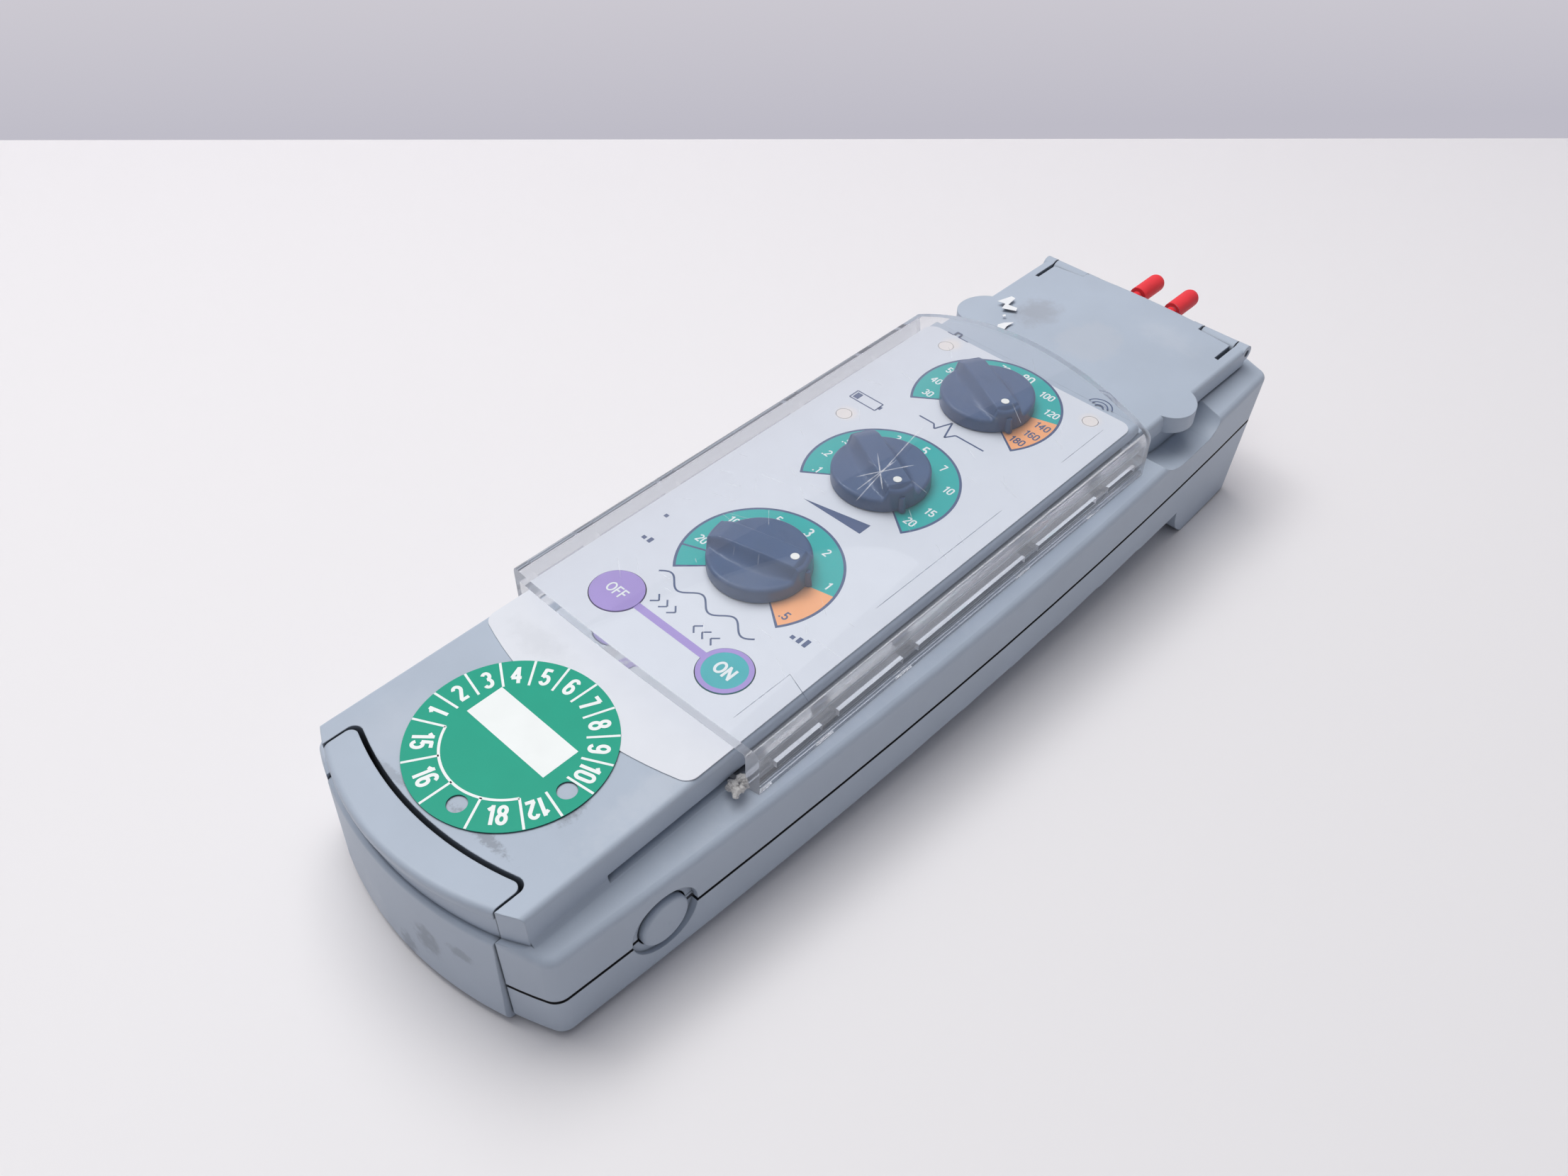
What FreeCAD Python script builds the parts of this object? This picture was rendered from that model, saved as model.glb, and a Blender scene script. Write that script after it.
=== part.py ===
import FreeCAD
import Part
import Sketcher
import math
import os

# Hand-held external pacemaker (pulse generator) lying on its back.
# Millimetres. X runs across the case, Y from the battery end to the
# connector end, Z up from the heel under the connector end. The origin is
# the middle of the footprint.

doc = FreeCAD.newDocument("pacemaker")
sheet = doc.addObject("Spreadsheet::Sheet", "sizes")


class Size:
    # A length or angle together with the formula that ties it to the sheet.

    def __init__(self, formula, value):
        self.formula = formula
        self.value = value

    def __add__(self, other):
        other = as_size(other)
        return Size("(%s + %s)" % (self.formula, other.formula), self.value + other.value)

    def __radd__(self, other):
        return as_size(other) + self

    def __sub__(self, other):
        other = as_size(other)
        return Size("(%s - %s)" % (self.formula, other.formula), self.value - other.value)

    def __rsub__(self, other):
        return as_size(other) - self

    def __mul__(self, other):
        other = as_size(other)
        return Size("(%s * %s)" % (self.formula, other.formula), self.value * other.value)

    def __rmul__(self, other):
        return as_size(other) * self

    def __truediv__(self, other):
        other = as_size(other)
        return Size("(%s / %s)" % (self.formula, other.formula), self.value / other.value)

    def __neg__(self):
        return Size("(0 - %s)" % self.formula, -self.value)


def as_size(number):
    if isinstance(number, Size):
        return number
    if number < 0:
        return Size("(0 - %s)" % repr(abs(float(number))), float(number))
    return Size(repr(float(number)), float(number))


def root(size):
    return Size("sqrt(%s)" % size.formula, math.sqrt(size.value))


def cosine(angle):
    return Size("cos(%s * 1 deg)" % angle.formula, math.cos(math.radians(angle.value)))


def sine(angle):
    return Size("sin(%s * 1 deg)" % angle.formula, math.sin(math.radians(angle.value)))


def rise(radius, half_chord):
    # Height of a circular arc over its chord, from its radius.
    return radius - root(radius * radius - half_chord * half_chord)


def cap_radius(half_width, height):
    # Radius of a spherical cap from its half width and height.
    return (half_width * half_width + height * height) / (2 * height)


class Sheet:
    pass


s = Sheet()


sizes = {
    # Case outline, seen from above.
    "case_half_width": 33.2,  # half width at the widest place
    "side_radius": 1500,  # radius of the gently bowed long sides
    "side_centre_y": 5.6,  # where the case is widest
    "foot_y": -107.2,  # foremost point of the battery end at the seam
    "foot_radius": 69,  # plan radius of the battery end
    "foot_half_width": 29.5,  # half width at the corners of the battery end
    "foot_corner_radius": 3,  # rounding of the two upright corners there
    "case_length": 202.4,  # from there to the connector end face, both at the seam
    "end_lean": 14,  # lean of the connector end face, degrees
    "end_corner_radius": 2,  # rounding of its upright corners
    "wall": 2.2,  # wall of both shells
    # Levels.
    "heel_height": 6.7,  # heel under the connector end
    "heel_length": 24.4,  # front of the heel at its foot, from the end face
    "heel_ramp": 5.3,  # length of the hollow ramp in front of the heel
    "seam_z": 16.8,  # middle of the seam between the shells
    "seam_gap": 0.5,  # open seam
    "shoulder_z": 28.6,  # ledge beside the raised deck
    "shoulder_drop": 2.2,  # fall of the ledge to its outer edge
    "deck_z": 35.3,  # flat deck
    "deck_half_width": 25.3,  # half width of the raised deck
    "deck_overhang": 0.3,  # deck beyond the battery end
    "deck_foot_radius": 50,  # plan radius of the deck at the battery end
    "flap_bay": 44.0,  # from the end of the deck to the end face
    "deck_wall": 2.4,  # thickness of the deck plate and its walls
    "edge_round": 1.1,  # rounding of the deck edges
    "ledge_round": 1.5,  # rounding of the outer ledge edges
    "wall_foot_round": 1.4,  # hollow where the deck walls meet the ledges
    "under_round": 2,  # rounding of the underside edges
    "cavity_inset": 12.7,  # inside of the shells, from the battery end
    "end_wall": 4.8,  # inside of the shells, from the end face
    "shoulder_roof_z": 25,  # inside height under the ledges
    "bay_roof_z": 22,  # inside height under the connector bay
    "lip_wall": 1.1,  # tongue of the rear shell inside the seam
    "lip_rise": 1.2,  # height of that tongue
    "lip_gap": 0.12,  # play of the tongue
    "boss_radius": 4.3,  # screw bosses
    "boss_split_z": 12,  # where front and rear bosses meet
    "boss_x": 24.4,  # screw bosses from the middle
    "boss_foot_inset": 41.2,  # two of the bosses, from the battery end
    "boss_end_inset": 13.2,  # the two other bosses, from the end face
    "screw_radius": 1.4,  # case screw shank
    "screw_head_radius": 2.6,  # case screw head
    "screw_head_z": 8.4,  # seat of the screw heads
    "screw_length": 15,  # case screw under the head
    "screw_play": 0.15,  # clearance of screws in their holes
    # Battery drawer and its slot.
    "drawer_half_width": 20.95,  # half width of the drawer front
    "drawer_gap": 0.4,  # gap beside the drawer front
    "slot_inset": 7.4,  # far edge of the slot over the drawer, from the battery end
    "slot_radius": 62,  # plan radius of that edge
    "slot_gap": 0.9,  # gap behind the drawer front at the deck
    "drawer_overhang": 1.1,  # drawer beyond the battery end at the underside
    "drawer_ledge_overhang": 0.1,  # the same at the ledge line
    "band_inset": 0.95,  # hollow band over the ledge line, set back
    "band_radius": 60,  # plan radius of that band
    "drawer_lip": 2.0,  # lip over the band
    "drawer_ledge_z": 28,  # line across the drawer front
    "tray_half_width": 14.8,  # half width of the battery tray
    "tray_wall": 1.3,  # tray walls and floor
    "tray_reach": 2.6,  # tray beyond the battery
    "tray_z": 9.4,  # underside of the tray
    "tray_gap": 0.4,  # play of the tray in its opening
    "tray_height": 16,  # height of the tray walls
    "battery_width": 26.5,  # 9 V block battery, width
    "battery_depth": 17.5,  # 9 V block battery, depth
    "battery_length": 46.4,  # 9 V block battery without its studs
    "battery_inset": 3.6,  # outer end of the battery, from the battery end
    "stud_height": 2.2,  # battery studs
    "stud_radius": 2.9,  # the smaller battery stud
    "stud_spacing": 12.7,  # between the battery studs
    # Release button for the drawer.
    "button_inset": 26.7,  # release button, from the battery end
    "button_z": 17.6,  # its height
    "button_radius": 4.65,  # its radius
    "button_gap": 0.3,  # gap round it
    "dish_radius": 6.4,  # shallow dish round the button
    "dish_x": 29.8,  # floor of the dish
    "button_face_x": 31.1,  # outer face of the button
    "button_dome": 0.35,  # rise of its outer face
    "button_play": 0.1,  # gap between flange and case wall
    "button_flange": 1.2,  # thickness of the flange
    "spring_seat_x": 20.2,  # inner end of the button spring
    # Clear cover over the controls.
    "cover_top_z": 44.7,  # crown of the cover
    "cover_radius": 63.3,  # radius of the crown
    "cover_half_width": 29.7,  # half width of the cover
    "cover_thickness": 2.3,  # cover wall
    "cover_far_inset": 2.1,  # far edge of the cover, from the end of the deck
    "cover_near_inset": 43.6,  # near edge of the cover on the middle line, from the battery end
    "cover_near_radius": 96,  # plan radius of the near edge
    "cover_gap": 0.2,  # play between cover and case
    "cover_shoulder_round": 2.6,  # rounding along the cover shoulders
    "rail_z": 28.65,  # underside of the groove in the deck wall
    "rail_inset": 21.2,  # start of that groove, from the battery end
    "rail_height": 1.6,  # height of that groove
    "rail_depth": 1.2,  # depth of that groove
    "window_z": 30.7,  # underside of the slots in the cover legs
    "window_height": 1.3,  # height of those slots
    # Face label, dials, keys, lamps.
    "label_half_width": 24.8,  # half width of the face label
    "label_near_inset": 34.2,  # near edge of the label on the middle line, from the battery end
    "label_near_radius": 76,  # plan radius of that edge
    "label_far_inset": 1.6,  # far edge of the label, from the end of the deck
    "label_thickness": 0.2,  # label film
    "dial_pitch": 32.1,  # between the dials
    "dial_inset": 110.7,  # middle dial, from the battery end
    "dial_radius": 9.3,  # skirt of a dial
    "dial_skirt_z": 3.3,  # height of the skirt edge over the dial foot
    "dial_height": 6.0,  # height of the grip
    "dial_lift": 0.25,  # dial foot over the label
    "grip_width": 4.6,  # grip at its top
    "grip_flare": 0.9,  # spread of the grip flanks toward the dish
    "dish_depth": 0.9,  # hollow on both sides of the grip
    "nub_radius": 0.75,  # pointer nub at the dial foot
    "stem_radius": 3.0,  # dial stem through the deck
    "stem_gap": 0.4,  # clearance of the stem
    "shaft_radius": 1.9,  # switch shaft
    "shaft_gap": 0.05,  # running clearance of the shaft
    "rate_angle": 153,  # grip direction of the rate dial, degrees
    "output_angle": 154,  # grip direction of the output dial, degrees
    "sense_angle": 194,  # grip direction of the sense dial, degrees
    "key_x": 12.9,  # ON and OFF keys from the middle
    "key_distance": 21.3,  # ON and OFF keys, from the nearest dial
    "key_radius": 4.8,  # key cap
    "key_gap": 0.2,  # gap round a key
    "key_rise": 0.35,  # key top over the deck
    "key_stem_radius": 1.7,  # key stem
    "lamp_radius": 1.5,  # lamps
    "lamp_gap": 0.1,  # gap round a lamp
    "lamp_x": 17.8,  # lamps from the middle
    "lamp_inset": 5.9,  # two lamps, from the end of the deck
    "lamp_offset": 10,  # battery lamp, from the middle dial
    "sticker_x": -0.6,  # inspection sticker across
    "sticker_inset": 24.8,  # inspection sticker, from the battery end
    "sticker_radius": 16.8,  # inspection sticker
    "sticker_hole": 1.65,  # punched holes in the sticker
    "hole_ring": 13.3,  # those holes, from the middle of the sticker
    "first_hole": -75,  # direction of the first, degrees
    "second_hole": 0,  # direction of the second, degrees
    "film": 0.12,  # sticker film
    # Circuit board.
    "board_z": 22.6,  # underside of the circuit board
    "board_thickness": 1.6,  # circuit board
    "board_half_width": 21.5,  # half width of the board
    "board_near_inset": 53.8,  # near end of the board, from the battery end
    "board_far_inset": 2.2,  # far end of the board, from the end of the deck
    "post_x": 18.2,  # board posts from the middle
    "post_near_inset": 71.2,  # two board posts, from the battery end
    "post_far_inset": 59.2,  # two other board posts, from the end face
    "post_radius": 2.6,  # board posts
    "board_screw_radius": 1.1,  # board screw shank
    "board_screw_head": 2.1,  # board screw head
    "switch_side": 13,  # rotary switch housing
    "switch_height": 7,  # rotary switch housing
    # Connector end.
    "bay_half_width": 22.6,  # raised rim of the connector bay
    "bay_rim_z": 31.2,  # top of that rim
    "bay_recess": 18.6,  # half width of the recess
    "bay_inset": 4.8,  # near side of the recess, from the end of the deck
    "bay_floor_z": 24,  # floor of the recess
    "block_half_width": 16,  # connector block
    "block_inset": 10.8,  # connector block, from the end of the deck
    "block_gap": 0.15,  # play of the block in the recess
    "pin_x": 4.5,  # contact pins from the middle
    "pin_z": 30.2,  # contact pins
    "pin_radius": 2.0,  # contact pins
    "pin_neck": 1.2,  # their necks in the block
    "pin_reach": 13.1,  # tips of the contact pins beyond the end face
    "pin_root": 17.2,  # inner ends of the contact pins, from the end face
    "flap_half_width": 26,  # flap
    "flap_clearance": 0.4,  # between deck and flap
    "flap_tail": 0.4,  # flap beyond its hinge axis
    "flap_top_z": 34.5,  # flap on the middle line
    "flap_crown": 1.3,  # fall of the flap to its sides
    "flap_thickness": 1.8,  # flap plate
    "flap_skirt_z": 29.3,  # lower edge of the flap sides
    "hinge_inset": 1.8,  # hinge axis, from the end face at the seam
    "hinge_z": 32.1,  # hinge axis
    "knuckle_radius": 1.7,  # hinge knuckles
    "knuckle_inner_x": 15.2,  # case knuckle, inner side
    "knuckle_outer_x": 23.3,  # case knuckle, outer side
    "inner_knuckle": 2.4,  # length of the inner flap knuckles
    "hinge_slot": 0.9,  # slots beside the hinge strips
    "hinge_pin_radius": 0.75,  # hinge pins
    "hinge_pin_play": 0.05,  # running clearance of the hinge pins
    "hinge_gap": 0.3,  # gap beside the knuckles
    "lobe_x": 23.3,  # finger lobe centre
    "lobe_inset": 29,  # finger lobe centre, from the end face
    "lobe_radius": 5.9,  # finger lobe
    "scoop_near_inset": 42.4,  # finger scoop, from the end face
    "scoop_far_inset": 18.2,  # finger scoop, from the end face
    "scoop_depth": 4.7,  # finger scoop under the ledge
    "scoop_ramp": 10.7,  # gentle side of the scoop
    "scoop_ramp_radius": 14,  # its hollow
    "scoop_end": 4.5,  # steep side of the scoop
    "scoop_end_radius": 5.5,  # its hollow
}
for row, (alias, value) in enumerate(sizes.items(), 1):
    sheet.set("A%d" % row, alias.replace("_", " "))
    sheet.set("B%d" % row, str(value))
    sheet.setAlias("B%d" % row, alias)
    setattr(s, alias, Size("sizes." + alias, float(value)))
doc.recompute()

# Places along the case that follow from those sizes.
end_y = s.foot_y + s.case_length
deck_foot_y = s.foot_y - s.deck_overhang
deck_end_y = end_y - s.flap_bay
cavity_foot_y = s.foot_y + s.cavity_inset
cavity_end_y = end_y - s.end_wall
heel_y = end_y - s.heel_length
boss_foot_y = s.foot_y + s.boss_foot_inset
boss_end_y = end_y - s.boss_end_inset
slot_y = s.foot_y + s.slot_inset
drawer_foot_y = s.foot_y - s.drawer_overhang
drawer_ledge_y = s.foot_y - s.drawer_ledge_overhang
battery_y = s.foot_y + s.battery_inset
tray_end_y = battery_y + s.battery_length + s.tray_reach
button_y = s.foot_y + s.button_inset
cover_near_y = s.foot_y + s.cover_near_inset
cover_far_y = deck_end_y - s.cover_far_inset
label_near_y = s.foot_y + s.label_near_inset
label_far_y = deck_end_y - s.label_far_inset
dial_middle_y = s.foot_y + s.dial_inset
key_y = dial_middle_y - s.dial_pitch - s.key_distance
lamp_far_y = deck_end_y - s.lamp_inset
lamp_battery_y = dial_middle_y + s.lamp_offset
sticker_y = s.foot_y + s.sticker_inset
board_near_y = s.foot_y + s.board_near_inset
board_far_y = deck_end_y - s.board_far_inset
post_near_y = s.foot_y + s.post_near_inset
post_far_y = end_y - s.post_far_inset
bay_near_y = deck_end_y + s.bay_inset
block_near_y = deck_end_y + s.block_inset
pin_root_y = end_y - s.pin_root
pin_tip_y = end_y + s.pin_reach
flap_near_y = deck_end_y + s.flap_clearance
hinge_y = end_y - s.hinge_inset
lobe_y = end_y - s.lobe_inset
scoop_near_y = end_y - s.scoop_near_inset
scoop_far_y = end_y - s.scoop_far_inset


# Sketch and feature helpers. Every dimension is written once as a Size, which
# seeds the geometry and binds the constraint or property to the sheet.

def plane_of(body, role):
    for feature in body.Origin.OriginFeatures:
        if feature.Role == role:
            return feature
    raise ValueError(role)


def new_body(name):
    body = doc.addObject("PartDesign::Body", name)
    body.Label = name
    return body


def sketch_on(body, name, role, offset=0, up=0):
    sketch = body.newObject("Sketcher::SketchObject", name)
    sketch.AttachmentSupport = [(plane_of(body, role), "")]
    sketch.MapMode = "FlatFace"
    sketch.setExpression("AttachmentOffset.Base.y", as_size(up).formula)
    sketch.setExpression("AttachmentOffset.Base.z", as_size(offset).formula)
    return sketch


def add_loop(sketch, path):
    # Closed outline. Each entry is (x, y) or (x, y, radius, side) where an arc
    # of that radius leads on to the next point, bulging to the right of the
    # travel for side 1 and to the left for side -1.
    first = sketch.GeometryCount
    count = len(path)
    shapes = []
    ends = []
    for i in range(count):
        here = path[i]
        there = path[(i + 1) % count]
        x0 = as_size(here[0]).value
        y0 = as_size(here[1]).value
        x1 = as_size(there[0]).value
        y1 = as_size(there[1]).value
        start = FreeCAD.Vector(x0, y0, 0)
        stop = FreeCAD.Vector(x1, y1, 0)
        if len(here) == 2:
            shapes.append(Part.LineSegment(start, stop))
            ends.append((1, 2))
            continue
        radius = as_size(here[2]).value
        chord = math.hypot(x1 - x0, y1 - y0)
        height = radius - math.sqrt(max(radius * radius - chord * chord / 4, 0))
        right = FreeCAD.Vector((y1 - y0) / chord, -(x1 - x0) / chord, 0)
        middle = (start + stop) * 0.5 + right * (height * here[3])
        if here[3] > 0:
            shapes.append(Part.Arc(start, middle, stop))
            ends.append((1, 2))
        else:
            shapes.append(Part.Arc(stop, middle, start))
            ends.append((2, 1))
    sketch.addGeometry(shapes, False)
    rules = []
    formulas = []
    index = sketch.ConstraintCount
    for i in range(count):
        after = (i + 1) % count
        rules.append(Sketcher.Constraint("Coincident", first + i, ends[i][1], first + after, ends[after][0]))
        formulas.append(None)
        for kind, size in (("DistanceX", path[i][0]), ("DistanceY", path[i][1])):
            size = as_size(size)
            rules.append(Sketcher.Constraint(kind, -1, 1, first + i, ends[i][0], size.value))
            formulas.append(size.formula)
        if len(path[i]) == 4:
            size = as_size(path[i][2])
            rules.append(Sketcher.Constraint("Radius", first + i, size.value))
            formulas.append(size.formula)
    sketch.addConstraint(rules)
    for i, formula in enumerate(formulas):
        if formula:
            sketch.setExpression("Constraints[%d]" % (index + i), formula)


def add_circle(sketch, x, y, radius):
    x = as_size(x)
    y = as_size(y)
    radius = as_size(radius)
    circle = Part.Circle(FreeCAD.Vector(x.value, y.value, 0), FreeCAD.Vector(0, 0, 1), radius.value)
    geometry = sketch.addGeometry(circle, False)
    for kind, size in (("DistanceX", x), ("DistanceY", y)):
        index = sketch.addConstraint(Sketcher.Constraint(kind, -1, 1, geometry, 3, size.value))
        sketch.setExpression("Constraints[%d]" % index, size.formula)
    index = sketch.addConstraint(Sketcher.Constraint("Radius", geometry, radius.value))
    sketch.setExpression("Constraints[%d]" % index, radius.formula)


def rectangle(x0, x1, y0, y1):
    return [(x0, y0), (x1, y0), (x1, y1), (x0, y1)]


def feature_of(body, kind, name, sketch, length, reverse):
    feature = body.newObject("PartDesign::" + kind, name)
    feature.Profile = sketch
    feature.setExpression("Length", as_size(length).formula)
    feature.Reversed = reverse
    return feature


def pad(body, name, role, offset, loops, length, reverse=False):
    # Adds material. Loops are outlines or (x, y, radius) circles.
    sketch = sketch_on(body, name + "_sketch", role, offset)
    draw(sketch, loops)
    return feature_of(body, "Pad", name, sketch, length, reverse)


def pocket(body, name, role, offset, loops, length, reverse=False):
    # Removes material and makes sure that something was removed.
    doc.recompute()
    before = body.Shape.Volume
    sketch = sketch_on(body, name + "_sketch", role, offset)
    draw(sketch, loops)
    feature = feature_of(body, "Pocket", name, sketch, length, reverse)
    doc.recompute()
    if not body.Shape.Volume < before - 1e-6:
        raise ValueError(name + " removes nothing")
    return feature


def draw(sketch, loops):
    for loop in loops:
        if isinstance(loop, tuple):
            add_circle(sketch, loop[0], loop[1], loop[2])
        else:
            add_loop(sketch, loop)


def spin(body, name, role, offset, path, axis, cut=False, up=0):
    # Full turn of an outline about the horizontal or vertical sketch axis.
    sketch = sketch_on(body, name + "_sketch", role, offset, up)
    add_loop(sketch, path)
    kind = "Groove" if cut else "Revolution"
    feature = body.newObject("PartDesign::" + kind, name)
    feature.Profile = sketch
    feature.ReferenceAxis = (sketch, [axis])
    feature.Angle = 360
    return feature


def round_edges(body, name, radius, choose, kind="Fillet"):
    doc.recompute()
    base = body.Tip
    edges = []
    for i, edge in enumerate(base.Shape.Edges):
        if choose(edge):
            edges.append("Edge%d" % (i + 1))
    if not edges:
        raise ValueError(name + " finds no edges")
    feature = body.newObject("PartDesign::" + kind, name)
    feature.Base = (base, edges)
    field = "Radius" if kind == "Fillet" else "Size"
    feature.setExpression(field, as_size(radius).formula)
    doc.recompute()
    if "Invalid" in feature.State or feature.Shape.isNull() or not feature.Shape.isValid():
        raise ValueError(name + " fails")
    return feature


def middle_of(edge):
    return edge.valueAt((edge.FirstParameter + edge.LastParameter) / 2)


def upright(edge):
    # A straight edge parallel to Z.
    box = edge.BoundBox
    return box.XLength < 0.01 and box.YLength < 0.01 and box.ZLength > 0.5


def level(edge, z):
    box = edge.BoundBox
    return abs(box.ZMin - z) < 0.02 and abs(box.ZMax - z) < 0.02


def solid(kind, name, sizes, x, y, z, direction=None):
    # Box, cylinder, cone or torus with bound sizes and place.
    thing = doc.addObject("Part::" + kind, name)
    for field, size in sizes.items():
        thing.setExpression(field, as_size(size).formula)
    if direction == "x":
        thing.Placement.Rotation = FreeCAD.Rotation(FreeCAD.Vector(0, 1, 0), 90)
    if direction == "y":
        thing.Placement.Rotation = FreeCAD.Rotation(FreeCAD.Vector(1, 0, 0), -90)
    for field, size in (("x", x), ("y", y), ("z", z)):
        thing.setExpression("Placement.Base." + field, as_size(size).formula)
    return thing


def box(name, x0, x1, y0, y1, z0, z1):
    x0, x1, y0, y1, z0, z1 = [as_size(v) for v in (x0, x1, y0, y1, z0, z1)]
    return solid("Box", name, {"Length": x1 - x0, "Width": y1 - y0, "Height": z1 - z0}, x0, y0, z0)


def rod(name, radius, length, x, y, z, direction=None):
    return solid("Cylinder", name, {"Radius": radius, "Height": length}, x, y, z, direction)


def fuse(name, parts):
    thing = doc.addObject("Part::MultiFuse", name)
    thing.Shapes = parts
    thing.Label = name
    return thing


def cut(name, base, tools):
    thing = doc.addObject("Part::Cut", name)
    thing.Base = base
    if len(tools) == 1:
        thing.Tool = tools[0]
    else:
        thing.Tool = fuse(name + "_tools", tools)
    thing.Label = name
    return thing


def group(name, parts):
    # Several equal pieces under one name, kept as separate solids.
    thing = doc.addObject("Part::Compound", name)
    thing.Links = parts
    thing.Label = name
    return thing


nodes = []


def keep(name, thing):
    thing.Label = name
    nodes.append((name, thing))


# Shared plan shapes.

def side_x(y, inset=0):
    # Half width of the case at a place along it.
    y = as_size(y) - s.side_centre_y
    return s.case_half_width - inset - rise(s.side_radius, y)


def foot_at(x, inset=0):
    # Front of the battery end at a distance from the middle line.
    return s.foot_y + inset + rise(s.foot_radius, as_size(x))


def case_plan(far_y):
    right_x = side_x(far_y)
    corner_y = foot_at(s.foot_half_width)
    return [
        (-s.foot_half_width, corner_y, s.foot_radius, 1),
        (s.foot_half_width, corner_y, s.side_radius, 1),
        (right_x, far_y),
        (-right_x, far_y, s.side_radius, 1),
    ]


def inside_plan(inset, near_y, far_y):
    near_x = side_x(near_y, inset)
    far_x = side_x(far_y, inset)
    return [
        (-near_x, near_y),
        (near_x, near_y, s.side_radius - inset, 1),
        (far_x, far_y),
        (-far_x, far_y, s.side_radius - inset, 1),
    ]


def slot_at(x, shift=0):
    return slot_y + shift + rise(s.slot_radius, as_size(x))


def drawer_hole(half_width):
    # Plan of the opening for the drawer front, back to the slot edge.
    edge_y = slot_at(half_width)
    return [
        (-half_width, s.foot_y - 8),
        (half_width, s.foot_y - 8),
        (half_width, edge_y, s.slot_radius, -1),
        (-half_width, edge_y),
    ]


def lean_at(z):
    # Connector end face at a height.
    return end_y + (as_size(z) - s.seam_z) * sine(s.end_lean) / cosine(s.end_lean)


def lean_cut(low_z, high_z):
    # Side view of all that lies beyond the leaning end face.
    return [
        (lean_at(low_z), low_z),
        (lean_at(low_z) + 30, low_z),
        (lean_at(low_z) + 30, high_z),
        (lean_at(high_z), high_z),
    ]


seam_low = s.seam_z - s.seam_gap / 2
seam_high = s.seam_z + s.seam_gap / 2
drawer_opening = s.drawer_half_width + s.drawer_gap
far_limit = end_y + 6
tray_opening = s.tray_half_width + s.tray_gap
tray_top = s.tray_z + s.tray_wall + s.battery_depth + s.tray_gap * 2
boss_places = [(1, boss_foot_y), (-1, boss_foot_y), (1, boss_end_y), (-1, boss_end_y)]
post_places = [(1, post_near_y), (-1, post_near_y), (1, post_far_y), (-1, post_far_y)]
dials = [
    ("rate", dial_middle_y + s.dial_pitch, s.rate_angle),
    ("output", dial_middle_y, s.output_angle),
    ("sense", dial_middle_y - s.dial_pitch, s.sense_angle),
]
lamps = [(s.lamp_x, lamp_far_y), (-s.lamp_x, lamp_far_y), (-s.lamp_x, lamp_battery_y)]
button_hole = s.button_radius + s.button_gap
flange_radius = s.button_radius + 0.9
flange_x = side_x(button_y - flange_radius, s.wall) - s.button_play
hinge_strip_in = s.knuckle_inner_x - s.hinge_gap
hinge_strip_out = s.knuckle_outer_x + s.hinge_gap

# Rear shell.
rear = new_body("rear_case")
pad(rear, "rear_block", "XY_Plane", 0, [case_plan(far_limit)], seam_low)
round_edges(rear, "rear_corners", s.foot_corner_radius,
            lambda e: upright(e) and middle_of(e).y < 0)
pocket(rear, "rear_lean", "YZ_Plane", 60, [lean_cut(s.heel_height - 10, seam_high)], 120)
round_edges(rear, "rear_end_corners", s.end_corner_radius,
            lambda e: middle_of(e).y > 85 and e.BoundBox.ZLength > 10 and abs(middle_of(e).x) > 25)
ramp_y = heel_y - s.heel_ramp
pocket(rear, "rear_under", "YZ_Plane", 60, [[
    (s.foot_y - 6, -1),
    (heel_y, -1),
    (heel_y, 0, s.heel_height * 1.35, -1),
    (ramp_y, s.heel_height),
    (s.foot_y - 6, s.heel_height),
]], 120)
round_edges(rear, "rear_under_round", s.under_round,
            lambda e: level(e, s.heel_height.value) and e.BoundBox.YLength > 3)
pocket(rear, "rear_inside", "XY_Plane", seam_low,
       [inside_plan(s.wall, cavity_foot_y, cavity_end_y)],
       seam_low - s.heel_height - s.wall)
pocket(rear, "heel_inside", "XY_Plane", s.heel_height + s.wall,
       [rectangle(-26, 26, heel_y + 4, cavity_end_y - 3)], s.heel_height - 0.3)
pocket(rear, "rear_drawer_hole", "XY_Plane", seam_low, [drawer_hole(drawer_opening)], seam_low + 1)
pocket(rear, "rear_tray_hole", "XZ_Plane", -(s.foot_y - 4),
       [rectangle(-tray_opening, tray_opening, s.tray_z - s.tray_gap, seam_low + 1)],
       cavity_foot_y - s.foot_y + 8)
pad(rear, "rear_lip", "XY_Plane", seam_low - 0.4, [
    inside_plan(s.wall - s.lip_wall, cavity_foot_y - s.lip_wall, cavity_end_y + s.lip_wall),
    inside_plan(s.wall, cavity_foot_y, cavity_end_y),
], s.lip_rise + s.seam_gap)
pocket(rear, "rear_lip_hole", "XZ_Plane", -(cavity_foot_y - 4),
       [rectangle(-tray_opening, tray_opening, seam_low - 1, seam_high + 3)], 7)
pad(rear, "rear_bosses", "XY_Plane", s.heel_height + s.wall - 0.2,
    [(side * s.boss_x, y, s.boss_radius) for side, y in boss_places],
    s.boss_split_z - s.heel_height - s.wall + 0.2)
pad(rear, "heel_bosses", "XY_Plane", 1,
    [(side * s.boss_x, boss_end_y, s.boss_radius) for side in (1, -1)],
    s.heel_height + s.wall - 0.5)
pad(rear, "board_posts", "XY_Plane", s.heel_height + s.wall - 0.2,
    [(side * s.post_x, y, s.post_radius) for side, y in post_places],
    s.board_z - s.heel_height - s.wall + 0.2)
pad(rear, "tray_guides", "XY_Plane", s.heel_height + s.wall - 0.2, [
    rectangle(side * (tray_opening + 0.7) - 0.6, side * (tray_opening + 0.7) + 0.6,
              cavity_foot_y - 0.2, tray_end_y)
    for side in (1, -1)], 6)
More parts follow.
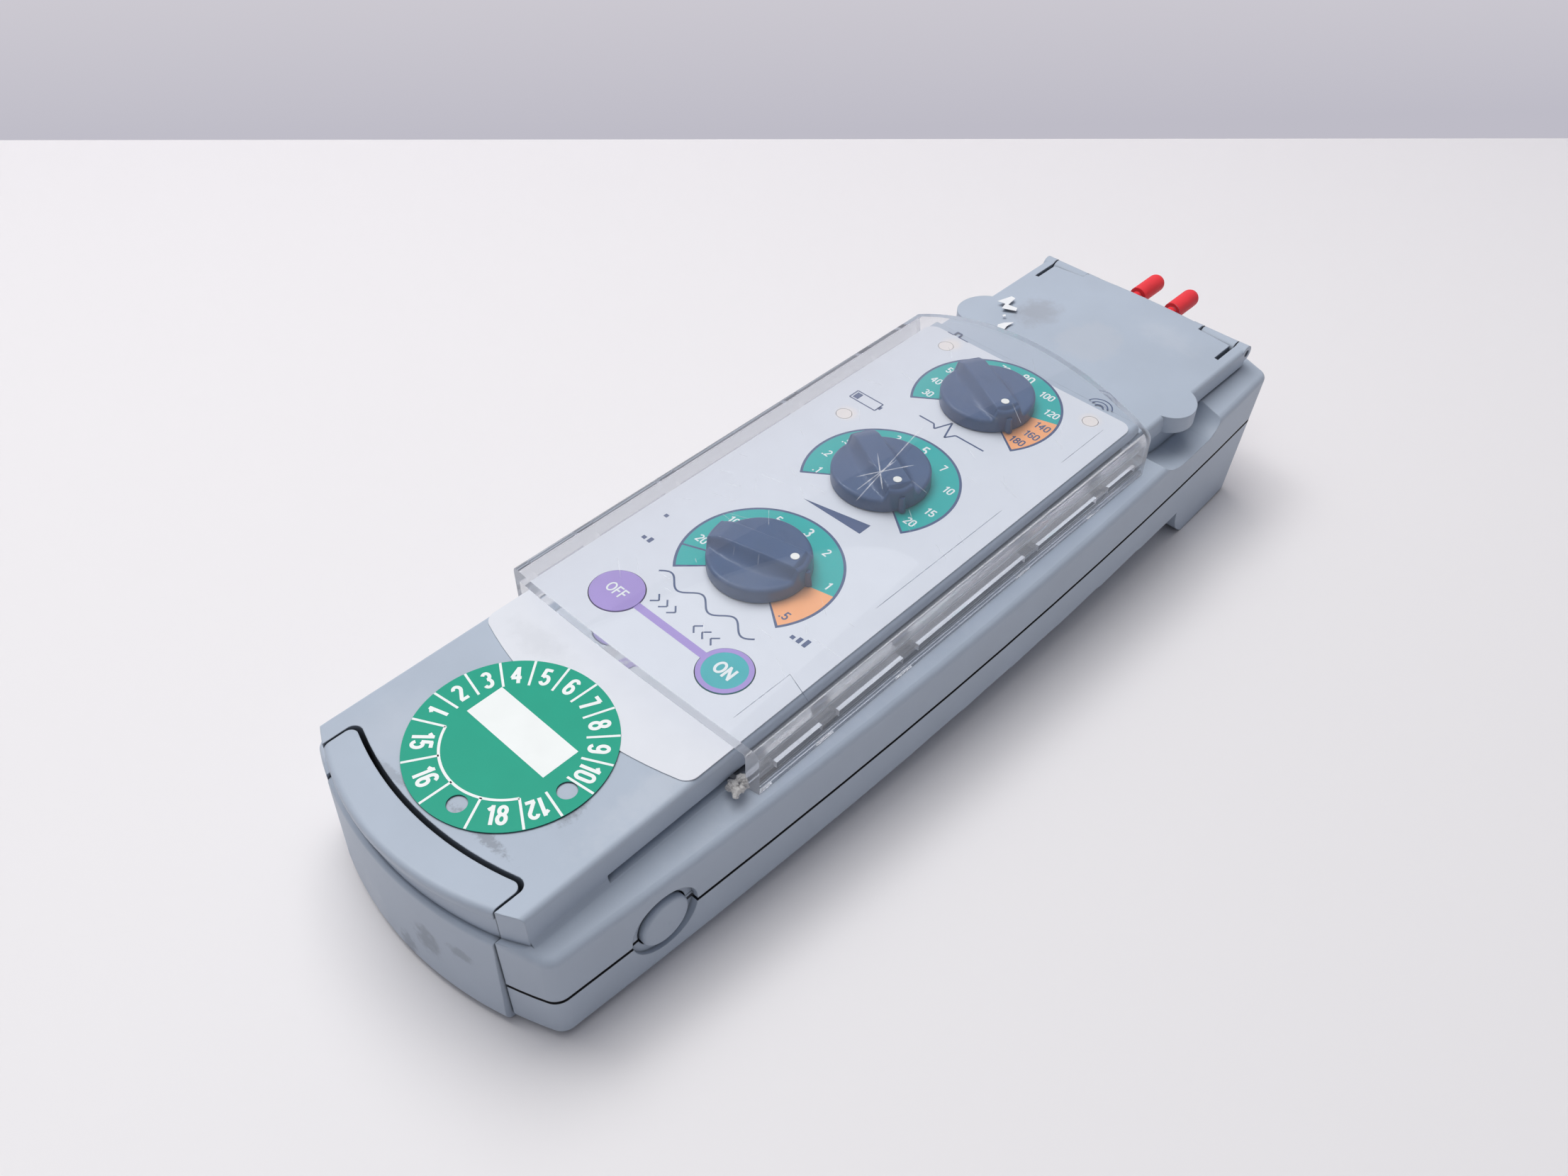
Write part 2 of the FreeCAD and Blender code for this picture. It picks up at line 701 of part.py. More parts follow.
pad(rear, "spring_wall", "XY_Plane", s.heel_height + s.wall - 0.2,
    [rectangle(s.spring_seat_x - 1.6, s.spring_seat_x, button_y - 5, button_y + 5)],
    s.button_z + 4.6 - s.heel_height - s.wall)
pocket(rear, "head_holes", "XY_Plane", s.screw_head_z,
       [(side * s.boss_x, y, s.screw_head_radius + s.screw_play) for side, y in boss_places],
       s.screw_head_z + 1)
pocket(rear, "shank_holes", "XY_Plane", s.boss_split_z + 1,
       [(side * s.boss_x, y, s.screw_radius + s.screw_play) for side, y in boss_places],
       s.boss_split_z)
pocket(rear, "post_holes", "XY_Plane", s.board_z + 1,
       [(side * s.post_x, y, s.board_screw_radius) for side, y in post_places], 9)
pocket(rear, "rear_button_hole", "YZ_Plane", s.case_half_width + 2,
       [(button_y, s.button_z, button_hole)], s.case_half_width + 2 - flange_x + 1)
pocket(rear, "rear_dish", "YZ_Plane", s.case_half_width + 2,
       [(button_y, s.button_z, s.dish_radius)], s.case_half_width + 2 - s.dish_x)
keep("rear_case", rear)

# Front shell with deck, ledges, connector bay and hinge knuckles.
front = new_body("front_case")
pad(front, "front_block", "XY_Plane", seam_high, [case_plan(far_limit)], s.shoulder_z - seam_high)
round_edges(front, "front_corners", s.foot_corner_radius,
            lambda e: upright(e) and middle_of(e).y < 0)
pocket(front, "front_lean", "YZ_Plane", 60, [lean_cut(seam_low - 2, s.shoulder_z + 4)], 120)
round_edges(front, "front_end_corners", s.end_corner_radius,
            lambda e: middle_of(e).y > 85 and e.BoundBox.ZLength > 9 and abs(middle_of(e).x) > 25)
outer_x = s.case_half_width + 2
drop = s.shoulder_drop * (outer_x - s.deck_half_width) / (s.case_half_width - s.deck_half_width)
for side, name in ((1, "right_ledge"), (-1, "left_ledge")):
    triangle = [
        (side * s.deck_half_width, s.shoulder_z),
        (side * outer_x, s.shoulder_z - drop),
        (side * outer_x, s.shoulder_z + 1),
        (side * s.deck_half_width, s.shoulder_z + 1),
    ]
    if side < 0:
        triangle.reverse()
    pocket(front, name, "XZ_Plane", -(s.foot_y - 20), [triangle], s.case_length + 40)
round_edges(front, "ledge_round", s.ledge_round,
            lambda e: abs(middle_of(e).x) > 29 and middle_of(e).z > 25 and e.BoundBox.YLength > 60)
deck_corner_y = deck_foot_y + rise(s.deck_foot_radius, s.deck_half_width)
pad(front, "deck", "XY_Plane", s.shoulder_z - 4, [[
    (-s.deck_half_width, deck_corner_y, s.deck_foot_radius, 1),
    (s.deck_half_width, deck_corner_y),
    (s.deck_half_width, deck_end_y),
    (-s.deck_half_width, deck_end_y),
]], s.deck_z - s.shoulder_z + 4)
foot_x = s.deck_half_width + s.wall_foot_round
foot_low = s.shoulder_z - drop * s.wall_foot_round / (outer_x - s.deck_half_width)
foot_top = s.shoulder_z + s.wall_foot_round
foot_start = deck_corner_y + 0.2
pad(front, "right_wall_foot", "XZ_Plane", -foot_start, [[
    (s.deck_half_width - 0.3, s.shoulder_z - 1),
    (foot_x, s.shoulder_z - 1),
    (foot_x, foot_low, s.wall_foot_round + 0.1, -1),
    (s.deck_half_width, foot_top),
    (s.deck_half_width - 0.3, foot_top),
]], deck_end_y - foot_start, True)
pad(front, "left_wall_foot", "XZ_Plane", -foot_start, [[
    (-s.deck_half_width + 0.3, s.shoulder_z - 1),
    (-s.deck_half_width + 0.3, foot_top),
    (-s.deck_half_width, foot_top, s.wall_foot_round + 0.1, -1),
    (-foot_x, foot_low),
    (-foot_x, s.shoulder_z - 1),
]], deck_end_y - foot_start, True)
pad(front, "bay_rim", "XY_Plane", s.shoulder_z - 4,
    [rectangle(-s.bay_half_width, s.bay_half_width, deck_end_y - 1, cavity_end_y)],
    s.bay_rim_z - s.shoulder_z + 4)
pocket(front, "front_inside", "XY_Plane", seam_high,
       [inside_plan(s.wall, cavity_foot_y, deck_end_y)],
       s.shoulder_roof_z - seam_high, True)
pocket(front, "front_inside_bay", "XY_Plane", seam_high,
       [inside_plan(s.wall, deck_end_y - 1, cavity_end_y)],
       s.bay_roof_z - seam_high, True)
deck_inner = s.deck_half_width - s.deck_wall
pocket(front, "deck_inside", "XY_Plane", s.shoulder_roof_z - 1,
       [rectangle(-deck_inner, deck_inner, cavity_foot_y, deck_end_y - s.deck_wall)],
       s.deck_z - s.deck_wall - s.shoulder_roof_z + 1, True)
pocket(front, "bay_recess", "XY_Plane", s.bay_rim_z + 1,
       [rectangle(-s.bay_recess, s.bay_recess, bay_near_y, cavity_end_y - 0.8)],
       s.bay_rim_z + 1 - s.bay_floor_z)
pocket(front, "front_drawer_hole", "XY_Plane", s.deck_z + 1, [drawer_hole(drawer_opening)],
       s.deck_z + 1)
pocket(front, "front_tray_hole", "XZ_Plane", -(s.foot_y - 4),
       [rectangle(-tray_opening, tray_opening, seam_high - 1, tray_top)],
       cavity_foot_y - s.foot_y + 8)
round_edges(front, "slot_corners", 1.6,
            lambda e: upright(e) and abs(abs(middle_of(e).x) - drawer_opening.value) < 0.1
            and middle_of(e).y > s.foot_y.value + 6 and middle_of(e).z > 26)
pocket(front, "lip_groove", "XY_Plane", seam_high, [
    inside_plan(s.wall - s.lip_wall - s.lip_gap, cavity_foot_y - s.lip_wall - s.lip_gap,
                cavity_end_y + s.lip_wall + s.lip_gap),
    inside_plan(s.wall + 0.4, cavity_foot_y + 0.4, cavity_end_y - 0.4),
], s.lip_rise - 0.4 + 0.1, True)
pad(front, "front_bosses", "XY_Plane", s.boss_split_z,
    [(side * s.boss_x, boss_foot_y, s.boss_radius) for side in (1, -1)],
    s.shoulder_roof_z - s.boss_split_z + 0.4)
pad(front, "front_end_bosses", "XY_Plane", s.boss_split_z,
    [(side * s.boss_x, boss_end_y, s.boss_radius) for side in (1, -1)],
    s.bay_roof_z - s.boss_split_z + 0.4)
pocket(front, "thread_holes", "XY_Plane", s.boss_split_z - 0.5,
       [(side * s.boss_x, y, s.screw_radius) for side, y in boss_places],
       s.screw_head_z + s.screw_length - s.boss_split_z + 1, True)
pocket(front, "shaft_holes", "XY_Plane", s.deck_z + 1,
       [(0, y, s.stem_radius + s.stem_gap) for name, y, angle in dials], s.deck_wall + 2)
pocket(front, "key_holes", "XY_Plane", s.deck_z + 1,
       [(side * s.key_x, key_y, s.key_radius + s.key_gap) for side in (1, -1)], 2.1)
pocket(front, "key_stem_holes", "XY_Plane", s.deck_z,
       [(side * s.key_x, key_y, s.key_stem_radius + s.key_gap) for side in (1, -1)],
       s.deck_wall + 1)
pocket(front, "lamp_holes", "XY_Plane", s.deck_z + 1,
       [(x, y, s.lamp_radius + s.lamp_gap) for x, y in lamps], s.deck_wall + 2)
for side, name in ((1, "right_rail"), (-1, "left_rail")):
    low = side * (s.deck_half_width - s.rail_depth)
    high = side * (s.deck_half_width + s.wall_foot_round + 0.2)
    loop = rectangle(low, high, s.rail_z, s.rail_z + s.rail_height)
    if side < 0:
        loop.reverse()
    pocket(front, name, "XZ_Plane", -(s.foot_y + s.rail_inset), [loop],
           deck_end_y - s.foot_y - s.rail_inset + 0.5)
scoop_floor = s.shoulder_z - s.scoop_depth
for side, name in ((1, "right_scoop"), (-1, "left_scoop")):
    loop = [
        (scoop_near_y, s.shoulder_z, s.scoop_ramp_radius, 1),
        (scoop_near_y + s.scoop_ramp, scoop_floor),
        (scoop_far_y - s.scoop_end, scoop_floor, s.scoop_end_radius, 1),
        (scoop_far_y, s.shoulder_z),
        (scoop_far_y, s.shoulder_z + 1),
        (scoop_near_y, s.shoulder_z + 1),
    ]
    pocket(front, name, "YZ_Plane", side * (s.case_half_width + 2), [loop],
           s.case_half_width + 2 - s.deck_half_width, side < 0)
pocket(front, "front_button_hole", "YZ_Plane", s.case_half_width + 2,
       [(button_y, s.button_z, button_hole)], s.case_half_width + 2 - flange_x + 1)
pocket(front, "front_dish", "YZ_Plane", s.case_half_width + 2,
       [(button_y, s.button_z, s.dish_radius)], s.case_half_width + 2 - s.dish_x)
for side, name in ((1, "right_knuckle"), (-1, "left_knuckle")):
    start_x = s.knuckle_inner_x if side > 0 else -s.knuckle_outer_x
    length = s.knuckle_outer_x - s.knuckle_inner_x
    pad(front, name, "YZ_Plane", start_x, [[
        (hinge_y - s.knuckle_radius, s.shoulder_z - 1),
        (hinge_y + s.knuckle_radius, s.shoulder_z - 1),
        (hinge_y + s.knuckle_radius, s.hinge_z, s.knuckle_radius + 0.001, 1),
        (hinge_y - s.knuckle_radius, s.hinge_z),
    ]], length)
    pocket(front, name + "_bore", "YZ_Plane", start_x - 1,
           [(hinge_y, s.hinge_z, s.hinge_pin_radius)], length + 2, True)
pocket(front, "pin_notches", "XZ_Plane", -(cavity_end_y - 1),
       [(side * s.pin_x, s.pin_z, s.pin_radius + 0.35) for side in (1, -1)], 12)
round_edges(front, "deck_round", s.edge_round,
            lambda e: level(e, s.deck_z.value) and e.BoundBox.YLength > 2
            and abs(middle_of(e).x) > s.deck_half_width.value - 0.5)
keep("front_case", front)

# Battery drawer: drafted front and tray.
drawer = new_body("battery_drawer")


def drawer_plan(front_y, radius):
    side_y = front_y + rise(radius, s.drawer_half_width)
    back_y = slot_at(s.drawer_half_width, -s.slot_gap)
    return [
        (-s.drawer_half_width, side_y, radius, 1),
        (s.drawer_half_width, side_y),
        (s.drawer_half_width, back_y, s.slot_radius, -1),
        (-s.drawer_half_width, back_y),
    ]


low_sketch = sketch_on(drawer, "front_low_sketch", "XY_Plane", s.heel_height)
add_loop(low_sketch, drawer_plan(drawer_foot_y, s.foot_radius))
high_sketch = sketch_on(drawer, "front_high_sketch", "XY_Plane", s.drawer_ledge_z)
add_loop(high_sketch, drawer_plan(drawer_ledge_y, s.foot_radius))
front_loft = drawer.newObject("PartDesign::AdditiveLoft", "front_plate")
front_loft.Profile = low_sketch
front_loft.Sections = [high_sketch]
front_loft.Ruled = True
pad(drawer, "front_band", "XY_Plane", s.drawer_ledge_z - 0.01,
    [drawer_plan(drawer_ledge_y + s.band_inset, s.band_radius)],
    s.deck_z - s.drawer_ledge_z - s.drawer_lip / 2)
pad(drawer, "front_top", "XY_Plane", s.deck_z - s.drawer_lip,
    [drawer_plan(deck_foot_y, s.deck_foot_radius)], s.drawer_lip)
pocket(drawer, "front_hollow", "XZ_Plane", 90,
       [rectangle(-s.tray_half_width, s.tray_half_width, s.tray_z, s.drawer_ledge_z + 1.4)],
       -(battery_y + 90) + 0.2, True)
pad(drawer, "tray_floor", "XY_Plane", s.tray_z,
    [rectangle(-s.tray_half_width, s.tray_half_width, battery_y - 1, tray_end_y)], s.tray_wall)
pad(drawer, "tray_walls", "XY_Plane", s.tray_z + s.tray_wall - 0.1, [
    rectangle(-s.tray_half_width, -s.tray_half_width + s.tray_wall, battery_y - 1, tray_end_y),
    rectangle(s.tray_half_width - s.tray_wall, s.tray_half_width, battery_y - 1, tray_end_y),
], s.tray_height)
round_edges(drawer, "drawer_round", 1.0,
            lambda e: level(e, s.deck_z.value) and e.BoundBox.XLength > 10 and middle_of(e).y < -104)
round_edges(drawer, "drawer_under_round", s.under_round,
            lambda e: level(e, s.heel_height.value) and e.BoundBox.XLength > 10 and middle_of(e).y < -104)
round_edges(drawer, "drawer_rim_round", 0.7,
            lambda e: level(e, s.drawer_ledge_z.value) and e.BoundBox.XLength > 10
            and middle_of(e).y < drawer_ledge_y.value + 0.3)
round_edges(drawer, "drawer_back_round", 1.3,
            lambda e: upright(e) and abs(abs(middle_of(e).x) - s.drawer_half_width.value) < 0.05
            and middle_of(e).y > slot_y.value)
keep("battery_drawer", drawer)

# Block battery with its two studs.
battery = new_body("battery")
half_battery = s.battery_width / 2
battery_floor = s.tray_z + s.tray_wall
battery_end = battery_y + s.battery_length
stud_z = battery_floor + s.battery_depth / 2
pad(battery, "battery_can", "XZ_Plane", -battery_y,
    [rectangle(-half_battery, half_battery, battery_floor, battery_floor + s.battery_depth)],
    s.battery_length, True)
round_edges(battery, "battery_corners", 1.5,
            lambda e: e.BoundBox.YLength > 40)
pad(battery, "studs", "XZ_Plane", -(battery_end - 0.1),
    [(-s.stud_spacing / 2, stud_z, s.stud_radius), (s.stud_spacing / 2, stud_z, s.stud_radius + 0.8)],
    s.stud_height + 0.1, True)
keep("battery", battery)

# Contact block behind the battery and its two contact springs.
contact_y = battery_end + s.stud_height + 1.3
contact_block = cut("contact_block", box(
    "contact_body", -14, 14, contact_y, contact_y + 3.4, s.heel_height + s.wall, s.board_z), [
    box("contact_relief", -3, 3, contact_y - 1, contact_y + 1.6, s.heel_height + s.wall + 3, s.board_z + 1),
])
keep("contact_block", contact_block)
contact_springs = []
for side in (-1, 1):
    x = side * s.stud_spacing / 2
    contact_springs.append(cut("contact_spring_%d" % (side + 2), rod(
        "contact_disc_%d" % (side + 2), 3.4, 1.25, x, contact_y - 1.25, stud_z, "y"), [
        rod("contact_eye_%d" % (side + 2), 1.0, 3, x, contact_y - 2, stud_z, "y")]))
keep("contact_springs", group("contact_springs", contact_springs))

# Release button and its spring.
button = new_body("release_button")
spin(button, "button_turned", "XZ_Plane", -button_y, [
    (s.spring_seat_x + 2.6, 0),
    (s.button_face_x + s.button_dome, 0, cap_radius(s.button_radius - 0.6, s.button_dome), 1),
    (s.button_face_x, s.button_radius - 0.6, 0.65, 1),
    (s.button_face_x - 0.6, s.button_radius),
    (flange_x, s.button_radius),
    (flange_x, flange_radius),
    (flange_x - s.button_flange, flange_radius),
    (flange_x - s.button_flange, 1.5),
    (s.spring_seat_x + 2.6, 1.5),
], "H_Axis", False, s.button_z)
keep("release_button", button)

spring_inner = s.spring_seat_x + 0.02
spring_outer = flange_x - s.button_flange - 0.02
coil = doc.addObject("Part::Helix", "spring_path")
coil.setExpression("Pitch", ((spring_outer - spring_inner - 0.7) / 4).formula)
coil.setExpression("Height", (spring_outer - spring_inner - 0.7).formula)
coil.Radius = 2.6
coil.LocalCoord = "Right-handed"
wire = doc.addObject("Part::Circle", "spring_wire")
wire.Radius = 0.33
wire.Placement = FreeCAD.Placement(FreeCAD.Vector(2.6, 0, 0), FreeCAD.Rotation(FreeCAD.Vector(1, 0, 0), 90))
spring = doc.addObject("Part::Sweep", "button_spring")
spring.Sections = [wire]
spring.Spine = (coil, [])
spring.Solid = True
spring.Frenet = True
spring.Placement = FreeCAD.Placement(FreeCAD.Vector(0, 0, 0), FreeCAD.Rotation(FreeCAD.Vector(0, 1, 0), 90))
spring.setExpression("Placement.Base.x", (spring_inner + 0.35).formula)
spring.setExpression("Placement.Base.y", button_y.formula)
spring.setExpression("Placement.Base.z", s.button_z.formula)
keep("button_spring", spring)

# Clear cover: a crowned arch with two legs that run on the ledges.
cover = new_body("clear_cover")


def crown_z(x, top, radius):
    return top - rise(radius, as_size(x))


inner_x = s.cover_half_width - s.cover_thickness
inner_top = s.cover_top_z - s.cover_thickness
inner_radius = s.cover_radius - s.cover_thickness


def ledge_at(x):
    x = as_size(x) - s.deck_half_width
    return s.shoulder_z - s.shoulder_drop * x / (s.case_half_width - s.deck_half_width)


tongue_x = s.deck_half_width - s.rail_depth + s.cover_gap
tongue_low = s.rail_z + s.cover_gap
tongue_high = s.rail_z + s.rail_height - s.cover_gap
foot_out = ledge_at(s.cover_half_width) + s.cover_gap
foot_in = ledge_at(inner_x) + s.cover_gap
cover_path = [
    (s.cover_half_width, foot_out),
    (s.cover_half_width, crown_z(s.cover_half_width, s.cover_top_z, s.cover_radius), s.cover_radius, 1),
    (-s.cover_half_width, crown_z(s.cover_half_width, s.cover_top_z, s.cover_radius)),
    (-s.cover_half_width, foot_out),
    (-inner_x, foot_in),
    (-inner_x, tongue_low),
    (-tongue_x, tongue_low),
    (-tongue_x, tongue_high),
    (-inner_x, tongue_high),
    (-inner_x, crown_z(inner_x, inner_top, inner_radius), inner_radius, -1),
    (inner_x, crown_z(inner_x, inner_top, inner_radius)),
    (inner_x, tongue_high),
    (tongue_x, tongue_high),
    (tongue_x, tongue_low),
    (inner_x, tongue_low),
    (inner_x, foot_in),
]
cover_start = cover_near_y - 1
pad(cover, "arch", "XZ_Plane", -cover_start, [cover_path], cover_far_y - cover_start, True)
round_edges(cover, "shoulder_round", s.cover_shoulder_round,
            lambda e: abs(abs(middle_of(e).x) - s.cover_half_width.value) < 0.05
            and middle_of(e).z > 34 and e.BoundBox.YLength > 50)
round_edges(cover, "inner_round", 1.0,
            lambda e: abs(abs(middle_of(e).x) - inner_x.value) < 0.05
            and middle_of(e).z > 33 and e.BoundBox.YLength > 50)
near_x = s.cover_half_width + 2
near_side_y = cover_near_y + rise(s.cover_near_radius, near_x)
pocket(cover, "near_edge", "XY_Plane", s.cover_top_z + 1, [[
    (-near_x, cover_start - 2),
    (near_x, cover_start - 2),
    (near_x, near_side_y, s.cover_near_radius, -1),
    (-near_x, near_side_y),
]], 30)
window_spans = [(8.6, 19.1), (23.1, 39.1), (43.1, 73.1), (77.1, 95.6), (99.6, 108.6)]
for side, name in ((1, "right_windows"), (-1, "left_windows")):
    pocket(cover, name, "YZ_Plane", side * (s.cover_half_width + 1), [
        rectangle(cover_near_y + y0, cover_near_y + y1, s.window_z, s.window_z + s.window_height)
        for y0, y1 in window_spans
    ], s.cover_thickness + 1.8, side < 0)
keep("clear_cover", cover)

# Face label film with its openings.
label = new_body("face_label")
label_side_y = label_near_y + rise(s.label_near_radius, s.label_half_width)
pad(label, "label_film", "XY_Plane", s.deck_z, [
    [
        (-s.label_half_width, label_side_y, s.label_near_radius, 1),
        (s.label_half_width, label_side_y),
        (s.label_half_width, label_far_y),
        (-s.label_half_width, label_far_y),
    ],
], s.label_thickness)
pocket(label, "label_openings", "XY_Plane", s.deck_z + 1,
       [(0, y, s.stem_radius + s.stem_gap) for name, y, angle in dials]
       + [(side * s.key_x, key_y, s.key_radius + s.key_gap) for side in (1, -1)]
       + [(x, y, s.lamp_radius + s.lamp_gap) for x, y in lamps], 2)
round_edges(label, "label_corners", 2.5, lambda e: e.BoundBox.XLength < 0.01
            and e.BoundBox.YLength < 0.01 and abs(middle_of(e).x) > 20)
keep("face_label", label)

# Inspection sticker, partly over the label.
sticker = new_body("inspection_sticker")
pad(sticker, "sticker_film", "XY_Plane", s.deck_z + s.label_thickness, [
    (s.sticker_x, sticker_y, s.sticker_radius),
    (s.sticker_x + s.hole_ring * cosine(s.first_hole), sticker_y + s.hole_ring * sine(s.first_hole), s.sticker_hole),
    (s.sticker_x + s.hole_ring * cosine(s.second_hole), sticker_y + s.hole_ring * sine(s.second_hole), s.sticker_hole),
], s.film)
keep("inspection_sticker", sticker)

# Dials. Each is drawn about its own axis with the grip along X, then turned.
dial_foot_z = s.deck_z + s.label_thickness + s.dial_lift
stem_low = s.deck_wall + s.label_thickness + s.dial_lift + 0.9
for name, y, angle in dials:
    dial = new_body(name + "_dial")
    spin(dial, name + "_skirt", "XZ_Plane", 0, [
        (0, 0),
        (s.dial_radius, 0),
        (s.dial_radius - 0.15, s.dial_skirt_z - 0.5, 0.6, 1),
        (s.dial_radius - 0.75, s.dial_skirt_z, cap_radius(s.dial_radius - 0.75, s.dish_depth), -1),
        (0, s.dial_skirt_z - s.dish_depth),
    ], "V_Axis")
    pad(dial, name + "_stem", "XY_Plane", -stem_low, [(0, 0, s.stem_radius)], stem_low + 0.5)
    half_grip = s.grip_width / 2
    pad(dial, name + "_grip", "YZ_Plane", -s.dial_radius, [[
        (-half_grip - s.grip_flare, 1.2),
        (half_grip + s.grip_flare, 1.2),
        (half_grip, s.dial_height),
        (-half_grip, s.dial_height),
    ]], s.dial_radius * 2)
    pocket(dial, name + "_ends", "XY_Plane", s.dial_height + 1, [
        (0, 0, s.dial_radius + 3), (0, 0, s.dial_radius - 0.25)],
        s.dial_height + 1 - s.dial_skirt_z + 0.6)
    pad(dial, name + "_nub", "XY_Plane", 0, [
        (s.dial_radius + 0.45, 0, s.nub_radius)], 2.0)
    round_edges(dial, name + "_soft", 0.45,
                lambda e: abs(middle_of(e).z - s.dial_height.value) < 0.01)
    pocket(dial, name + "_bore", "XY_Plane", -stem_low - 1, [(0, 0, s.shaft_radius)],
           stem_low + 3.3, True)
    dial.setExpression("Placement.Base.y", y.formula)
    dial.setExpression("Placement.Base.z", dial_foot_z.formula)
    dial.setExpression("Placement.Rotation.Angle", (angle - 180).formula)
    keep(name + "_dial", dial)
    shaft_top = dial_foot_z + 2.2
    shaft_low = s.board_z + s.board_thickness + 0.8
    shaft = rod(name + "_shaft", s.shaft_radius, shaft_top - shaft_low, 0, y, shaft_low)
    keep(name + "_shaft", shaft)

# Rotary switches on the board.
board_top = s.board_z + s.board_thickness
half_switch = s.switch_side / 2
switches = []
for name, y, angle in dials:
    switches.append(cut(name + "_switch", box(
        name + "_housing", -half_switch, half_switch, y - half_switch, y + half_switch,
        board_top, board_top + s.switch_height), [
        rod(name + "_bearing", s.shaft_radius + s.shaft_gap, s.switch_height + 1, 0, y,
            board_top + 0.7)]))
keep("rotary_switches", group("rotary_switches", switches))

# ON and OFF keys with their switches.
for side, name in ((1, "on_key"), (-1, "off_key")):
    cap = rod(name + "_cap", s.key_radius, 1.0, side * s.key_x, key_y, s.deck_z + s.key_rise - 1.0)
    stem = rod(name + "_stem", s.key_stem_radius, s.deck_z - s.board_z - 5, side * s.key_x, key_y,
               s.board_z + 5.2)
    keep(name, fuse(name, [cap, stem]))
key_switches = []
for side, name in ((1, "on_switch"), (-1, "off_switch")):
    x = side * s.key_x
    key_switches.append(fuse(name, [
        box(name + "_body", x - 3, x + 3, key_y - 3, key_y + 3, board_top, board_top + 2.9),
        rod(name + "_plunger", 1.3, 3.15, x, key_y, board_top),
    ]))
keep("key_switches", group("key_switches", key_switches))

# Lamps on the board, ending in the label.
lamp_solids = []
for i, (x, y) in enumerate(lamps):
    lamp_solids.append(fuse("lamp_%d" % i, [
        rod("lamp_lens_%d" % i, s.lamp_radius, s.deck_z + s.label_thickness - s.board_z - 8, x, y, s.board_z + 8),
        rod("lamp_holder_%d" % i, s.lamp_radius + 0.7, 8.2 - s.board_thickness, x, y, board_top),
    ]))
keep("indicator_lamps", group("indicator_lamps", lamp_solids))

# Circuit board on its posts with screws and the larger parts.
board_holes = [rod("board_hole_%d" % i, s.board_screw_radius + s.screw_play, 4, side * s.post_x, y, s.board_z - 1)
               for i, (side, y) in enumerate(post_places)]
keep("circuit_board", cut("circuit_board", box(
    "board_plate", -s.board_half_width, s.board_half_width, board_near_y, board_far_y,
    s.board_z, board_top), board_holes))
board_screws = []
for i, (side, y) in enumerate(post_places):
    board_screws.append(fuse("board_screw_%d" % i, [
        rod("board_screw_head_%d" % i, s.board_screw_head, 1.3, side * s.post_x, y, board_top),
        rod("board_screw_shank_%d" % i, s.board_screw_radius, 8.6, side * s.post_x, y, board_top - 8.5),
    ]))
keep("board_screws", group("board_screws", board_screws))
chips = [
    ("processor", -6, 6, 12.6, 23.2, 1.7),
    ("memory", 9, 17, -24, -14, 1.5),
    ("timer", -17, -10, -22, -16, 1.5),
    ("output_stage", 9.5, 17, 16, 24, 2.6),
    ("resonator", -17.5, -12, 24, 29, 3.2),
]
chip_solids = []
for name, x0, x1, y0, y1, height in chips:
    chip_solids.append(box(name, x0, x1, y0, y1, board_top, board_top + height))
keep("board_components", group("board_components", chip_solids))
capacitors = []
for i, (x, y) in enumerate(((-13, -6), (-4, -6), (5, -6))):
    capacitors.append(rod("capacitor_%d" % i, 3.4, 9.5, x, y, s.board_z - 9.5))
keep("output_capacitors", group("output_capacitors", capacitors))

# Case screws, heads in the rear shell.
case_screws = []
for i, (side, y) in enumerate(boss_places):
    x = side * s.boss_x
    case_screws.append(cut("case_screw_%d" % i, fuse("case_screw_blank_%d" % i, [
        rod("case_screw_head_%d" % i, s.screw_head_radius, 1.5, x, y, s.screw_head_z - 1.5),
        rod("case_screw_shank_%d" % i, s.screw_radius, s.screw_length + 0.1, x, y, s.screw_head_z - 0.1),
    ]), [
        box("case_screw_slot_a_%d" % i, x - 1.5, x + 1.5, y - 0.3, y + 0.3, s.screw_head_z - 2, s.screw_head_z - 0.8),
        box("case_screw_slot_b_%d" % i, x - 0.3, x + 0.3, y - 1.5, y + 1.5, s.screw_head_z - 2, s.screw_head_z - 0.8),
    ]))
keep("case_screws", group("case_screws", case_screws))

# Connector block with its two contact pins.
block_far_y = cavity_end_y - 0.8 - s.block_gap
keep("connector_block", cut("connector_block", fuse("block_blank", [
    box("block_base", -s.block_half_width, s.block_half_width, block_near_y, block_far_y,
        s.bay_floor_z, s.bay_rim_z - 0.4),
    box("block_saddle", -8, 8, block_near_y, block_far_y, s.bay_floor_z, s.bay_rim_z + 1.1),
]), [
    rod("left_bore", s.pin_neck, 40, -s.pin_x, pin_root_y, s.pin_z, "y"),
    rod("right_bore", s.pin_neck, 40, s.pin_x, pin_root_y, s.pin_z, "y"),
    box("block_step", -13, 13, block_near_y - 1, block_near_y + 5, s.bay_rim_z - 4, s.bay_rim_z + 3),
]))
pin_shoulder = lean_at(s.pin_z) + 0.4 - pin_root_y
tip_length = pin_tip_y - pin_root_y
